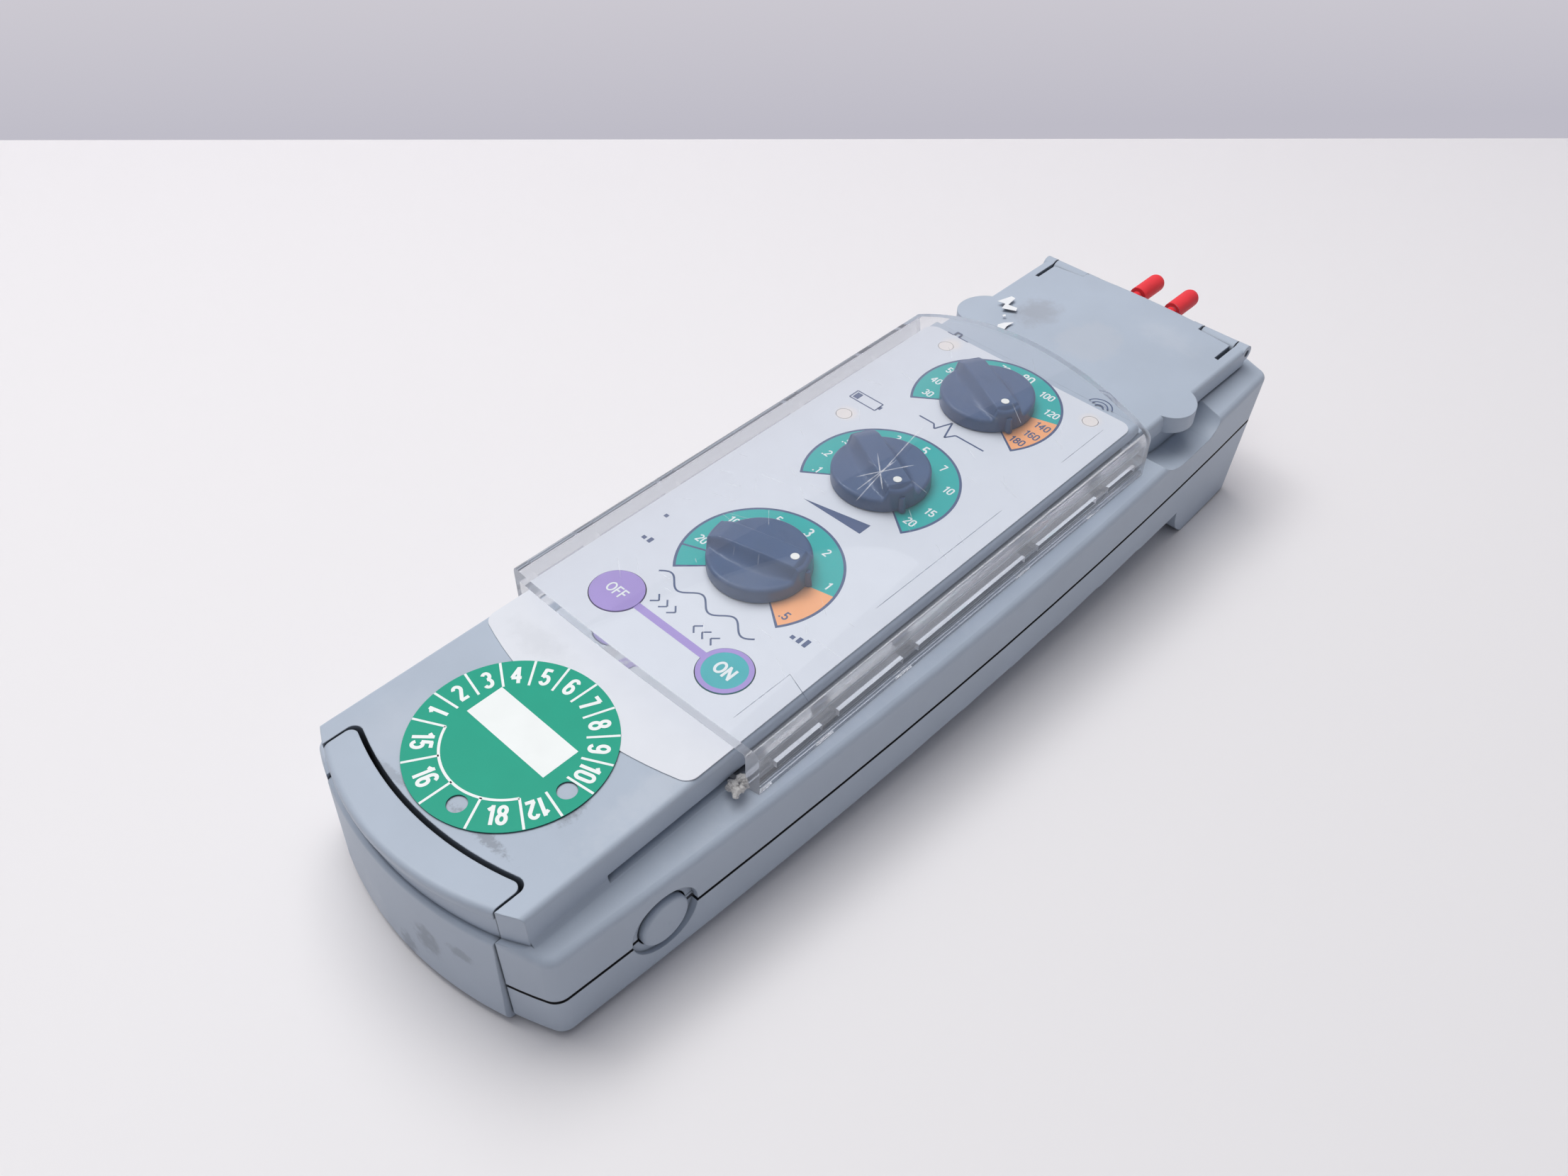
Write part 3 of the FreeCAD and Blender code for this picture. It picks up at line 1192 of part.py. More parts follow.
for side, name in ((-1, "left_contact_pin"), (1, "right_contact_pin")):
    pin = new_body(name)
    spin(pin, name + "_turned", "XZ_Plane", 0, [
        (0, 0),
        (s.pin_neck, 0),
        (s.pin_neck, pin_shoulder),
        (s.pin_radius, pin_shoulder),
        (s.pin_radius, tip_length - s.pin_radius, s.pin_radius, 1),
        (0, tip_length),
    ], "V_Axis")
    pin.Placement.Rotation = FreeCAD.Rotation(FreeCAD.Vector(1, 0, 0), -90)
    pin.setExpression("Placement.Base.x", (side * s.pin_x).formula)
    pin.setExpression("Placement.Base.y", pin_root_y.formula)
    pin.setExpression("Placement.Base.z", s.pin_z.formula)
    keep(name, pin)

# Flap over the connector bay, hinged at the connector end.
flap = new_body("top_flap")
flap_radius = (s.flap_half_width * s.flap_half_width + s.flap_crown * s.flap_crown) / (2 * s.flap_crown)
skirt_x = s.flap_half_width - s.flap_thickness
under_radius = flap_radius - s.flap_thickness
under_top = s.flap_top_z - s.flap_thickness
side_z = s.flap_top_z - s.flap_crown
under_side_z = under_top - rise(under_radius, skirt_x)
flap_length = hinge_y + s.flap_tail - flap_near_y
pad(flap, "flap_plate", "XZ_Plane", -flap_near_y, [[
    (s.flap_half_width, s.flap_skirt_z),
    (s.flap_half_width, side_z, flap_radius, 1),
    (-s.flap_half_width, side_z),
    (-s.flap_half_width, s.flap_skirt_z),
    (-skirt_x, s.flap_skirt_z),
    (-skirt_x, under_side_z, under_radius, -1),
    (skirt_x, under_side_z),
    (skirt_x, s.flap_skirt_z),
]], flap_length, True)
lobe_chord = root(s.lobe_radius * s.lobe_radius - (skirt_x - s.lobe_x) * (skirt_x - s.lobe_x))
pad(flap, "lobes", "XY_Plane", s.flap_skirt_z, [
    [
        (skirt_x + 0.2, lobe_y - lobe_chord, s.lobe_radius, 1),
        (skirt_x + 0.2, lobe_y + lobe_chord),
    ],
    [
        (-skirt_x - 0.2, lobe_y + lobe_chord, s.lobe_radius, 1),
        (-skirt_x - 0.2, lobe_y - lobe_chord),
    ],
], s.flap_top_z - s.flap_skirt_z)
crown_x = s.flap_half_width + 5
crown_side_z = s.flap_top_z - rise(flap_radius, crown_x)
pocket(flap, "crown_trim", "XZ_Plane", -(flap_near_y - 1), [[
    (crown_x, crown_side_z, flap_radius, 1),
    (-crown_x, crown_side_z),
    (-crown_x, s.flap_top_z + 3),
    (crown_x, s.flap_top_z + 3),
]], flap_length + 4)
round_edges(flap, "flap_side_round", 1.0,
            lambda e: abs(abs(middle_of(e).x) - s.flap_half_width.value) < 0.05
            and middle_of(e).z > s.flap_top_z.value - s.flap_crown.value - 0.3 and e.BoundBox.YLength > 5)
round_edges(flap, "flap_end_round", 0.9,
            lambda e: abs(middle_of(e).y - (hinge_y + s.flap_tail).value) < 0.05
            and middle_of(e).z > s.flap_top_z.value - 1.5 and e.BoundBox.XLength > 20)
pocket(flap, "knuckle_openings", "XY_Plane", s.flap_top_z + 1, [
    rectangle(hinge_strip_in, hinge_strip_out, hinge_y - s.knuckle_radius - s.hinge_gap, hinge_y + 4),
    rectangle(-hinge_strip_out, -hinge_strip_in, hinge_y - s.knuckle_radius - s.hinge_gap, hinge_y + 4),
    rectangle(hinge_strip_out - s.hinge_slot, hinge_strip_out, hinge_y - 8.2, hinge_y - 1.9),
    rectangle(-hinge_strip_out, -hinge_strip_out + s.hinge_slot, hinge_y - 8.2, hinge_y - 1.9),
], 9)
pocket(flap, "tail_relief", "XY_Plane", s.hinge_z + 1.2, [
    rectangle(-8, 8, hinge_y - 1.4, hinge_y + 3)], 6)
flap_knuckles = [
    ("right_outer", hinge_strip_out, s.flap_half_width - hinge_strip_out),
    ("left_outer", -s.flap_half_width, s.flap_half_width - hinge_strip_out),
    ("right_inner", hinge_strip_in - s.inner_knuckle, s.inner_knuckle),
    ("left_inner", -hinge_strip_in, s.inner_knuckle),
]
for name, x, length in flap_knuckles:
    pad(flap, name + "_knuckle", "YZ_Plane", x, [(hinge_y, s.hinge_z, s.knuckle_radius)], length)
for name, x, length in flap_knuckles:
    pocket(flap, name + "_bore", "YZ_Plane", x - 0.5,
           [(hinge_y, s.hinge_z, s.hinge_pin_radius + s.hinge_pin_play)], length + 1, True)
keep("top_flap", flap)
hinge_pins = []
for side, name in ((1, "right_hinge_pin"), (-1, "left_hinge_pin")):
    start_x = hinge_strip_in - 2.0 if side > 0 else -s.flap_half_width + 0.4
    hinge_pins.append(rod(name, s.hinge_pin_radius, s.flap_half_width - 0.4 - hinge_strip_in + 2.0,
                          start_x, hinge_y, s.hinge_z, "x"))
keep("hinge_pins", group("hinge_pins", hinge_pins))

# Check everything, then write one file for each node.
doc.recompute()
for thing in doc.Objects:
    for flag in ("Invalid", "Error"):
        if flag in thing.State:
            raise RuntimeError(thing.Name + " is " + flag)
for name, thing in nodes:
    shape = thing.Shape
    if shape.isNull() or not shape.isValid() or shape.Volume <= 0:
        raise RuntimeError(name + " has no good shape")
os.makedirs("parts", exist_ok=True)
for name, thing in nodes:
    thing.Shape.exportStep("parts/" + name + ".step")
    print(name, len(thing.Shape.Solids), round(thing.Shape.Volume / 1000, 2), thing.Shape.BoundBox)
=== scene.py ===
import math
import random

import bmesh
import bpy
from mathutils import Matrix, Vector


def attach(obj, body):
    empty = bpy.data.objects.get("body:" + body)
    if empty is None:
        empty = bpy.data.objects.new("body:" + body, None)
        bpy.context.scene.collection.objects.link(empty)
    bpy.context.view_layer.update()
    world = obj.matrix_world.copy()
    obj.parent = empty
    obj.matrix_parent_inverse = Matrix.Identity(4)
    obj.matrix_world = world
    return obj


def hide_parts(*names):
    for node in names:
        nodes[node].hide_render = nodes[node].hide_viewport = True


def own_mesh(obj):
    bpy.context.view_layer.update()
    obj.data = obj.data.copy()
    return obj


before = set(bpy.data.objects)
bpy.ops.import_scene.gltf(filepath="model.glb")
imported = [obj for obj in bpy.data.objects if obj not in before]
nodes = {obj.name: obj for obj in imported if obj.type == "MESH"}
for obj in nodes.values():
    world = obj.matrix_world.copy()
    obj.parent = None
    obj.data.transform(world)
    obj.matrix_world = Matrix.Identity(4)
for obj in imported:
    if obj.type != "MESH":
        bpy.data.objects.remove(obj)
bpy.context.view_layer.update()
random.seed(7)
mm = 0.001

# General helpers


def say(stage):
    print("stage:", stage)


def linear(r, g, b):
    # 8-bit screen colour to linear light
    out = []
    for c in (r, g, b):
        c = c / 255
        out.append(c / 12.92 if c <= 0.04045 else ((c + 0.055) / 1.055) ** 2.4)
    return (out[0], out[1], out[2], 1)


def meshObject(name, bm, material, smooth=None, flat=False):
    if not flat:
        bmesh.ops.recalc_face_normals(bm, faces=bm.faces)
    mesh = bpy.data.meshes.new(name)
    if smooth is not None:
        limit = math.radians(smooth)
        for face in bm.faces:
            face.smooth = True
        for edge in bm.edges:
            edge.smooth = len(edge.link_faces) == 2 and edge.calc_face_angle(0) < limit
    bm.to_mesh(mesh)
    bm.free()
    mesh.materials.append(material)
    thing = bpy.data.objects.new(name, mesh)
    bpy.context.scene.collection.objects.link(thing)
    return thing


def place(thing, body, replaced=()):
    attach(thing, body)
    if replaced:
        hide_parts(*replaced)
    return thing


def addPrism(bm, outline, low, high):
    # closed slab from a counter-clockwise outline in millimetres
    bottom = [bm.verts.new((x * mm, y * mm, low * mm)) for x, y in outline]
    top = [bm.verts.new((x * mm, y * mm, high * mm)) for x, y in outline]
    bm.faces.new(list(reversed(bottom)))
    bm.faces.new(top)
    count = len(outline)
    for i in range(count):
        j = (i + 1) % count
        bm.faces.new((bottom[i], bottom[j], top[j], top[i]))


def skinRings(bm, rings):
    # walls between one four-cornered ring and the next, and both ends
    for first, second in zip(rings, rings[1:]):
        for k in range(4):
            m = (k + 1) % 4
            bm.faces.new((first[k], first[m], second[m], second[k]))
    bm.faces.new(rings[0])
    bm.faces.new(list(reversed(rings[-1])))


def addBand(bm, cx, cy, inner, outer, start, stop, low, high):
    # closed sector of a flat ring, angles in degrees
    steps = max(2, int(abs(stop - start) / 2.5))
    rings = []
    for i in range(steps + 1):
        a = math.radians(start + (stop - start) * i / steps)
        c = math.cos(a)
        n = math.sin(a)
        rings.append([
            bm.verts.new(((cx + r * c) * mm, (cy + r * n) * mm, z * mm))
            for r, z in ((inner, low), (outer, low), (outer, high), (inner, high))
        ])
    skinRings(bm, rings)


def addDisc(bm, cx, cy, radius, low, high, count=64):
    outline = []
    for i in range(count):
        a = 2 * math.pi * i / count
        outline.append((cx + radius * math.cos(a), cy + radius * math.sin(a)))
    addPrism(bm, outline, low, high)


def addStroke(bm, points, width, low, high):
    # flat line of even width through points
    half = width / 2
    for (x0, y0), (x1, y1) in zip(points, points[1:]):
        length = math.hypot(x1 - x0, y1 - y0)
        nx = -(y1 - y0) / length * half
        ny = (x1 - x0) / length * half
        addPrism(bm, [(x0 - nx, y0 - ny), (x1 - nx, y1 - ny), (x1 + nx, y1 + ny), (x0 + nx, y0 + ny)], low, high)


def addRibbon(bm, points, width, low, high):
    # closed flat band of even width along a smooth line
    last = len(points) - 1
    rings = []
    for i, (x, y) in enumerate(points):
        ax, ay = points[max(0, i - 1)]
        bx, by = points[min(last, i + 1)]
        if math.dist(points[0], points[last]) < 1e-6 and i in (0, last):
            ax, ay = points[last - 1]
            bx, by = points[1]
        length = math.hypot(bx - ax, by - ay)
        nx = -(by - ay) / length * width / 2
        ny = (bx - ax) / length * width / 2
        rings.append([bm.verts.new((px * mm, py * mm, pz * mm)) for px, py, pz in (
            (x - nx, y - ny, low), (x + nx, y + ny, low), (x + nx, y + ny, high), (x - nx, y - ny, high))])
    skinRings(bm, rings)


def arcPoints(cx, cy, rx, ry, start, stop):
    count = max(4, int(abs(stop - start) / 15))
    out = []
    for i in range(count + 1):
        a = math.radians(start + (stop - start) * i / count)
        out.append((cx + rx * math.cos(a), cy + ry * math.sin(a)))
    return out


def glyphLines(sign):
    # centre lines of a plain upright letter, one unit high, with its width
    h = 0.42
    six = [arcPoints(0, h - 0.2, 0.195, 0.2, 20, 180) + [(-0.195, -h + 0.235)],
           arcPoints(0, -h + 0.235, 0.195, 0.235, 0, 360)]
    shapes = {
        "0": ([arcPoints(0, h - 0.2, 0.195, 0.2, 0, 180) + arcPoints(0, -h + 0.2, 0.195, 0.2, 180, 360)
               + [(0.195, h - 0.2)]], 0.58),
        "1": ([[(0.05, -h - 0.07), (0.05, h + 0.07)], [(-0.17, h - 0.17), (0.05, h - 0.03)]], 0.5),
        "2": ([arcPoints(0, h - 0.2, 0.19, 0.2, 165, -25) + [(-0.19, -h + 0.03)],
               [(-0.25, -h), (0.22, -h)]], 0.58),
        "3": ([arcPoints(0, h - 0.195, 0.18, 0.195, 155, -90),
               arcPoints(0, -h + 0.225, 0.2, 0.225, 90, -155)], 0.58),
        "4": ([[(0.09, -h - 0.07), (0.09, h + 0.05)], [(0.09, h), (-0.25, -0.16)], [(-0.27, -0.17), (0.25, -0.17)]],
              0.62),
        "5": ([[(0.2, h), (-0.17, h)], [(-0.14, h + 0.05), (-0.18, -0.03)],
               arcPoints(0, -h + 0.24, 0.2, 0.24, 145, -155)], 0.58),
        "6": (six, 0.58),
        "7": ([[(-0.24, h), (0.24, h)], [(0.2, h), (-0.07, -h - 0.07)]], 0.56),
        "8": ([arcPoints(0, h - 0.195, 0.175, 0.195, 0, 360), arcPoints(0, -h + 0.225, 0.2, 0.225, 0, 360)], 0.58),
        "9": ([[(-x, -y) for x, y in line] for line in six], 0.58),
        ".": ([[(0, -h - 0.07), (0, -h + 0.09)]], 0.26),
        "O": ([arcPoints(0, 0, 0.29, h, 0, 360)], 0.78),
        "N": ([[(-0.23, -h - 0.07), (-0.23, h + 0.07)], [(0.23, -h - 0.07), (0.23, h + 0.07)],
               [(-0.23, h), (0.23, -h)]], 0.7),
        "F": ([[(-0.17, -h - 0.07), (-0.17, h + 0.07)], [(-0.2, h), (0.22, h)], [(-0.17, 0.02), (0.18, 0.02)]], 0.56),
    }
    return shapes[sign]


def addWords(bm, words, height, x, y, low, high, turn=0, weight=0.14, squeeze=1.0):
    # plain lettering centred on a point, in the plane of the print
    total = sum(glyphLines(sign)[1] for sign in words)
    along = -total / 2
    layer = 0
    c = math.cos(math.radians(turn))
    n = math.sin(math.radians(turn))
    for sign in words:
        lines, width = glyphLines(sign)
        for line in lines:
            spots = []
            for px, py in line:
                px = (px + along + width / 2) * height * squeeze
                py = py * height
                spots.append((x + px * c - py * n, y + px * n + py * c))
            # each stroke lies a hair higher, so that crossings stay clean
            layer += 0.0015
            addRibbon(bm, spots, weight * height, low, high + layer)
        along += width


# Shader helpers


def newMaterial(name):
    material = bpy.data.materials.new(name)
    material.use_nodes = True
    tree = material.node_tree
    tree.nodes.clear()
    return material, tree, tree.nodes.new("ShaderNodeOutputMaterial").inputs["Surface"]


def feed(tree, socket, value):
    # a socket takes a link from another socket, or a plain value
    if isinstance(value, bpy.types.NodeSocket):
        tree.links.new(value, socket)
    else:
        socket.default_value = value


def addNode(tree, kind, given=None, **settings):
    node = tree.nodes.new(kind)
    for label, value in settings.items():
        setattr(node, label, value)
    for key, value in (given or {}).items():
        feed(tree, node.inputs[key], value)
    return node


def reckon(tree, operation, *values):
    return addNode(tree, "ShaderNodeMath", dict(enumerate(values)), operation=operation).outputs[0]


def remap(tree, value, fromMin, fromMax, toMin=0.0, toMax=1.0, kind="LINEAR"):
    return addNode(tree, "ShaderNodeMapRange", {
        "Value": value, "From Min": fromMin, "From Max": fromMax, "To Min": toMin, "To Max": toMax,
    }, interpolation_type=kind).outputs[0]


def mixColours(tree, factor, first, second):
    return addNode(tree, "ShaderNodeMix", {"Factor": factor, "A": first, "B": second},
                   data_type="RGBA").outputs["Result"]


def mixShaders(tree, factor, first, second):
    return addNode(tree, "ShaderNodeMixShader", {0: factor, 1: first, 2: second}).outputs[0]


def noiseOver(tree, scale, detail, roughness=0.5):
    coord = addNode(tree, "ShaderNodeTexCoord")
    return addNode(tree, "ShaderNodeTexNoise", {
        "Vector": coord.outputs["Object"], "Scale": scale, "Detail": detail, "Roughness": roughness,
    }).outputs["Fac"]


def splitCoord(tree, label):
    # the three parts of Object or Normal coordinates
    coord = addNode(tree, "ShaderNodeTexCoord")
    return addNode(tree, "ShaderNodeSeparateXYZ", {0: coord.outputs[label]}).outputs


def newGroup(name, numbers, results, vectors=()):
    # shader group with named inputs and outputs
    group = bpy.data.node_groups.new(name, "ShaderNodeTree")
    for label in vectors:
        group.interface.new_socket(label, in_out="INPUT", socket_type="NodeSocketVector")
    for label, value in numbers.items():
        socket = group.interface.new_socket(label, in_out="INPUT", socket_type="NodeSocketFloat")
        socket.default_value = value
    for label, kind in results.items():
        group.interface.new_socket(label, in_out="OUTPUT", socket_type="NodeSocket" + kind)
    return group, addNode(group, "NodeGroupInput").outputs, addNode(group, "NodeGroupOutput").inputs


perMetre = 1000  # noise scale of a pattern one millimetre across


def makeGrainGroup():
    # fine moulded texture with soft unevenness: height, tone and gloss
    group, given, result = newGroup("mouldedGrain", {"Grain size": 0.35, "Cloud size": 18.0},
                                    {"Height": "Float", "Tone": "Float", "Gloss": "Float"})
    fine = noiseOver(group, reckon(group, "DIVIDE", perMetre, given["Grain size"]), 3)
    cloud = noiseOver(group, reckon(group, "DIVIDE", perMetre, given["Cloud size"]), 4)
    tone = remap(group, cloud, 0.3, 0.7)
    feed(group, result["Height"], fine)
    feed(group, result["Tone"], tone)
    feed(group, result["Gloss"], reckon(group, "MULTIPLY_ADD", tone, 0.5, fine))
    return group


def makeSpotGroup():
    # ragged oval mask round a centre, for smudges, stains and glows
    group, given, result = newGroup("softSpot", {"Ragged": 0.5, "Noise size": 3.0, "Edge": 0.5},
                                    {"Mask": "Float"}, ("Centre", "Reach"))
    coord = addNode(group, "ShaderNodeTexCoord")
    away = addNode(group, "ShaderNodeVectorMath", {0: coord.outputs["Object"], 1: given["Centre"]},
                   operation="SUBTRACT")
    ratio = addNode(group, "ShaderNodeVectorMath", {0: away.outputs[0], 1: given["Reach"]}, operation="DIVIDE")
    length = addNode(group, "ShaderNodeVectorMath", {0: ratio.outputs[0]}, operation="LENGTH")
    noise = noiseOver(group, reckon(group, "DIVIDE", perMetre, given["Noise size"]), 5, 0.62)
    torn = reckon(group, "MULTIPLY", reckon(group, "SUBTRACT", noise, 0.5), given["Ragged"])
    total = reckon(group, "ADD", length.outputs["Value"], torn)
    inner = reckon(group, "SUBTRACT", 1, given["Edge"])
    feed(group, result["Mask"], remap(group, total, inner, 1, 1, 0, "SMOOTHSTEP"))
    return group


def makeEdgeGroup():
    # painted highlight and wear on corners: where the bevelled normal leaves the true one, in patches
    # or, as Unbroken rises, all along
    group, given, result = newGroup("rubbedAndHighlitEdge", {"Radius": 0.0004, "Unbroken": 0.0},
                                    {"Mask": "Float", "Normal": "Vector"})
    bevel = addNode(group, "ShaderNodeBevel", {"Radius": given["Radius"]}, samples=4)
    plain = addNode(group, "ShaderNodeNewGeometry")
    dot = addNode(group, "ShaderNodeVectorMath", {0: bevel.outputs["Normal"], 1: plain.outputs["Normal"]},
                  operation="DOT_PRODUCT")
    bentEdge = remap(group, dot.outputs["Value"], 0.99, 0.86)
    patch = remap(group, noiseOver(group, 420, 4), 0.5, 0.72)
    whole = reckon(group, "MAXIMUM", patch, given["Unbroken"])
    feed(group, result["Mask"], reckon(group, "MULTIPLY", bentEdge, whole))
    feed(group, result["Normal"], bevel.outputs["Normal"])
    return group


def makeCreaseGroup():
    # painted shade, with some grime, darkening seams and inner corners where ambient occlusion finds them
    group, given, result = newGroup("creaseShade", {"Reach": 0.0015}, {"Mask": "Float"})
    shade = addNode(group, "ShaderNodeAmbientOcclusion", {"Distance": given["Reach"]}, samples=6)
    feed(group, result["Mask"], remap(group, shade.outputs["AO"], 0.72, 0.25, kind="SMOOTHSTEP"))
    return group


grainGroup = makeGrainGroup()
spotGroup = makeSpotGroup()
edgeWearAndHighlightGroup = makeEdgeGroup()
creaseShadeGroup = makeCreaseGroup()


def plasticMaterial(name, look):
    # moulded plastic: look holds colour, spread of tone, roughness, grain, rubbed edges with painted highlight,
    # creases with painted shade, a seam painted as shade and spots as (centre, reach, ragged, edge, colour, amount,
    # change of gloss)
    material, tree, surface = newMaterial(name)
    grain = addNode(tree, "ShaderNodeGroup", {"Grain size": look["grainSize"], "Cloud size": look["cloudSize"]},
                    node_tree=grainGroup)
    base = look["colour"][:3]
    tones = look["toneSpread"]
    colour = mixColours(tree, grain.outputs["Tone"], tuple(c * (1 - tones) for c in base) + (1,),
                        tuple(min(1, c * (1 + tones)) for c in base) + (1,))
    gloss = remap(tree, grain.outputs["Gloss"], 0.2, 1.1,
                  look["roughness"] - look["roughSpread"], look["roughness"] + look["roughSpread"])
    bump = addNode(tree, "ShaderNodeBump", {
        "Strength": look["bump"], "Distance": 0.05 * mm, "Height": grain.outputs["Height"]})
    # painted highlight and wear: edges mixed toward a paler colour
    if look.get("edge"):
        edge = addNode(tree, "ShaderNodeGroup", {"Radius": look["edge"] * mm}, node_tree=edgeWearAndHighlightGroup)
        colour = mixColours(tree, edge.outputs["Mask"], colour, look["edgeWearAndHighlightColour"])
        feed(tree, bump.inputs["Normal"], edge.outputs["Normal"])
    for centre, reach, ragged, soft, tint, amount, change in look.get("spots", ()):
        mask = addNode(tree, "ShaderNodeGroup", {
            "Centre": tuple(c * mm for c in centre), "Reach": tuple(c * mm for c in reach), "Ragged": ragged,
            "Noise size": max(0.5, min(reach[:2]) * 0.45), "Edge": soft,
        }, node_tree=spotGroup).outputs["Mask"]
        colour = mixColours(tree, reckon(tree, "MULTIPLY", mask, amount), colour, tint)
        gloss = reckon(tree, "MULTIPLY_ADD", mask, change, gloss)
    # painted shade: creases and inner corners mixed toward a dark shade colour
    if look.get("crease"):
        crease = addNode(tree, "ShaderNodeGroup", node_tree=creaseShadeGroup)
        part = reckon(tree, "MULTIPLY", crease.outputs["Mask"], look["crease"])
        colour = mixColours(tree, part, colour, look["paintedShadeColour"])
    if look.get("seam"):
        # painted shade: a near-black band along the open seam between the shells
        rise = splitCoord(tree, "Object")["Z"]
        away = reckon(tree, "ABSOLUTE", reckon(tree, "SUBTRACT", rise, look["seam"] * mm))
        half = look["seamHalf"] * mm
        colour = mixColours(tree, remap(tree, away, half, half * 0.8), colour, look["paintedShadeColour"])
    shader = addNode(tree, "ShaderNodeBsdfPrincipled", {
        "Base Color": colour, "Roughness": gloss, "Normal": bump.outputs["Normal"]})
    feed(tree, surface, shader.outputs[0])
    return material


def metalMaterial(name, colour, roughness):
    material, tree, surface = newMaterial(name)
    grain = addNode(tree, "ShaderNodeGroup", node_tree=grainGroup)
    rough = remap(tree, grain.outputs["Gloss"], 0, 1, roughness * 0.8, roughness * 1.3)
    shader = addNode(tree, "ShaderNodeBsdfPrincipled", {"Base Color": colour, "Metallic": 1, "Roughness": rough})
    feed(tree, surface, shader.outputs[0])
    return material


caseLook = {
    "colour": linear(176, 187, 201),
    "toneSpread": 0.035,
    "roughness": 0.4,
    "roughSpread": 0.06,
    "grainSize": 0.28,
    "cloudSize": 14,
    "bump": 0.22,
    # painted highlight and wear along the edges
    "edge": 0.3,
    "edgeWearAndHighlightColour": linear(206, 214, 224),
    # painted shade in creases and inner corners
    "crease": 0.85,
    "paintedShadeColour": linear(34, 38, 48),
}
grime = linear(118, 122, 130)
scuff = linear(205, 209, 216)
frontSpots = (
    ((9.0, -95.8, 35.3), (8.0, 1.3, 2), 1.5, 0.6, grime, 0.55, 0.05),
    ((15.6, -84.5, 35.3), (2.0, 4.0, 2), 1.6, 0.7, grime, 0.6, 0.08),
    ((-9.0, -98.5, 35.3), (5.0, 0.9, 2), 1.6, 0.6, grime, 0.35, 0.05),
    ((22.0, -70.0, 35.3), (4.0, 26.0, 2), 1.2, 0.8, scuff, 0.25, -0.06),
    ((-15.0, -92.0, 35.3), (9.0, 11.0, 2), 1.0, 0.9, scuff, 0.2, -0.05),
    ((29.0, -30.0, 28.6), (4.0, 60.0, 3), 1.4, 0.8, scuff, 0.2, -0.08),
)
drawerSpots = (
    ((7.0, -107.0, 17.0), (3.5, 5.0, 4.6), 1.5, 0.7, grime, 0.42, 0.12),
    ((1.0, -108.0, 9.0), (2.6, 5.0, 6.0), 1.7, 0.7, grime, 0.36, 0.12),
    ((14.0, -106.0, 20.0), (3.0, 5.0, 1.6), 1.7, 0.7, grime, 0.35, 0.12),
    ((-8.0, -106.0, 12.0), (6.0, 5.0, 8.0), 1.0, 0.9, scuff, 0.18, -0.04),
)
flapSpots = (
    ((1.0, 70.5, 34.5), (7.6, 9.0, 2), 0.9, 0.35, linear(186, 192, 202), 0.5, 0.16),
    ((-14.0, 72.0, 34.5), (6.5, 8.0, 2), 1.2, 0.7, linear(150, 152, 160), 0.5, 0.1),
    ((12.0, 84.0, 34.5), (11.0, 6.0, 2), 1.2, 0.9, scuff, 0.2, -0.05),
)
# painted shade along the seam between the shells
seamShadeLook = {"seam": 16.8, "seamHalf": 0.44, "paintedShadeColour": linear(20, 22, 30)}
casePlastic = plasticMaterial("casePlastic", caseLook)
rearPlastic = plasticMaterial("rearPlastic", dict(caseLook, **seamShadeLook))
frontPlastic = plasticMaterial("frontPlastic", dict(caseLook, spots=frontSpots, **seamShadeLook))
drawerPlastic = plasticMaterial("drawerPlastic", dict(caseLook, spots=drawerSpots))
flapPlastic = plasticMaterial("flapPlastic", dict(caseLook, spots=flapSpots))
dialLook = {
    "colour": linear(60, 84, 120),
    "toneSpread": 0.05,
    "roughness": 0.3,
    "roughSpread": 0.06,
    "grainSize": 0.2,
    "cloudSize": 5,
    "bump": 0.1,
}
dialPlastic = plasticMaterial("dialPlastic", dialLook)
blockPlastic = plasticMaterial("blockPlastic", dict(caseLook, colour=linear(130, 142, 160)))
blackPlastic = plasticMaterial("blackPlastic", dict(caseLook, colour=linear(30, 31, 34)))
redPlastic = plasticMaterial("redPlastic", dict(
    caseLook, colour=linear(236, 56, 64), roughness=0.55, toneSpread=0.06, cloudSize=4))
lampGlow = linear(240, 232, 226)
labelSpots = (
    ((-17.3, 46.7, 35.5), (2.9, 2.9, 2), 0.1, 0.75, lampGlow, 0.9, 0.0),
    ((-17.5, 14.0, 35.5), (2.9, 2.9, 2), 0.1, 0.75, lampGlow, 0.9, 0.0),
    ((17.6, 45.6, 35.5), (2.9, 2.9, 2), 0.1, 0.75, lampGlow, 0.8, 0.0),
    ((-14.0, -66.0, 35.5), (10.0, 4.0, 2), 1.2, 0.9, linear(196, 200, 206), 0.3, 0.08),
)
labelFilm = plasticMaterial("labelFilm", dict(
    dialLook, colour=linear(223, 226, 232), roughness=0.36, toneSpread=0.012, grainSize=0.3,
    spots=labelSpots))
lampLens = plasticMaterial("lampLens", dict(dialLook, colour=lampGlow, toneSpread=0.01))
onPlastic = plasticMaterial("onPlastic", dict(dialLook, colour=linear(40, 172, 176)))
offPlastic = plasticMaterial("offPlastic", dict(dialLook, colour=linear(165, 142, 208)))
boardPlastic = plasticMaterial("boardPlastic", dict(dialLook, colour=linear(30, 96, 58)))
batterySkin = plasticMaterial("batterySkin", dict(dialLook, colour=linear(46, 48, 54)))
steelMetal = metalMaterial("steelMetal", linear(190, 190, 190), 0.35)
brassMetal = metalMaterial("brassMetal", linear(214, 178, 104), 0.3)


def inkMaterial(name, colour, roughness=0.4):
    return plasticMaterial(name, dict(
        dialLook, colour=colour, roughness=roughness, toneSpread=0.02, grainSize=0.3, bump=0.06))


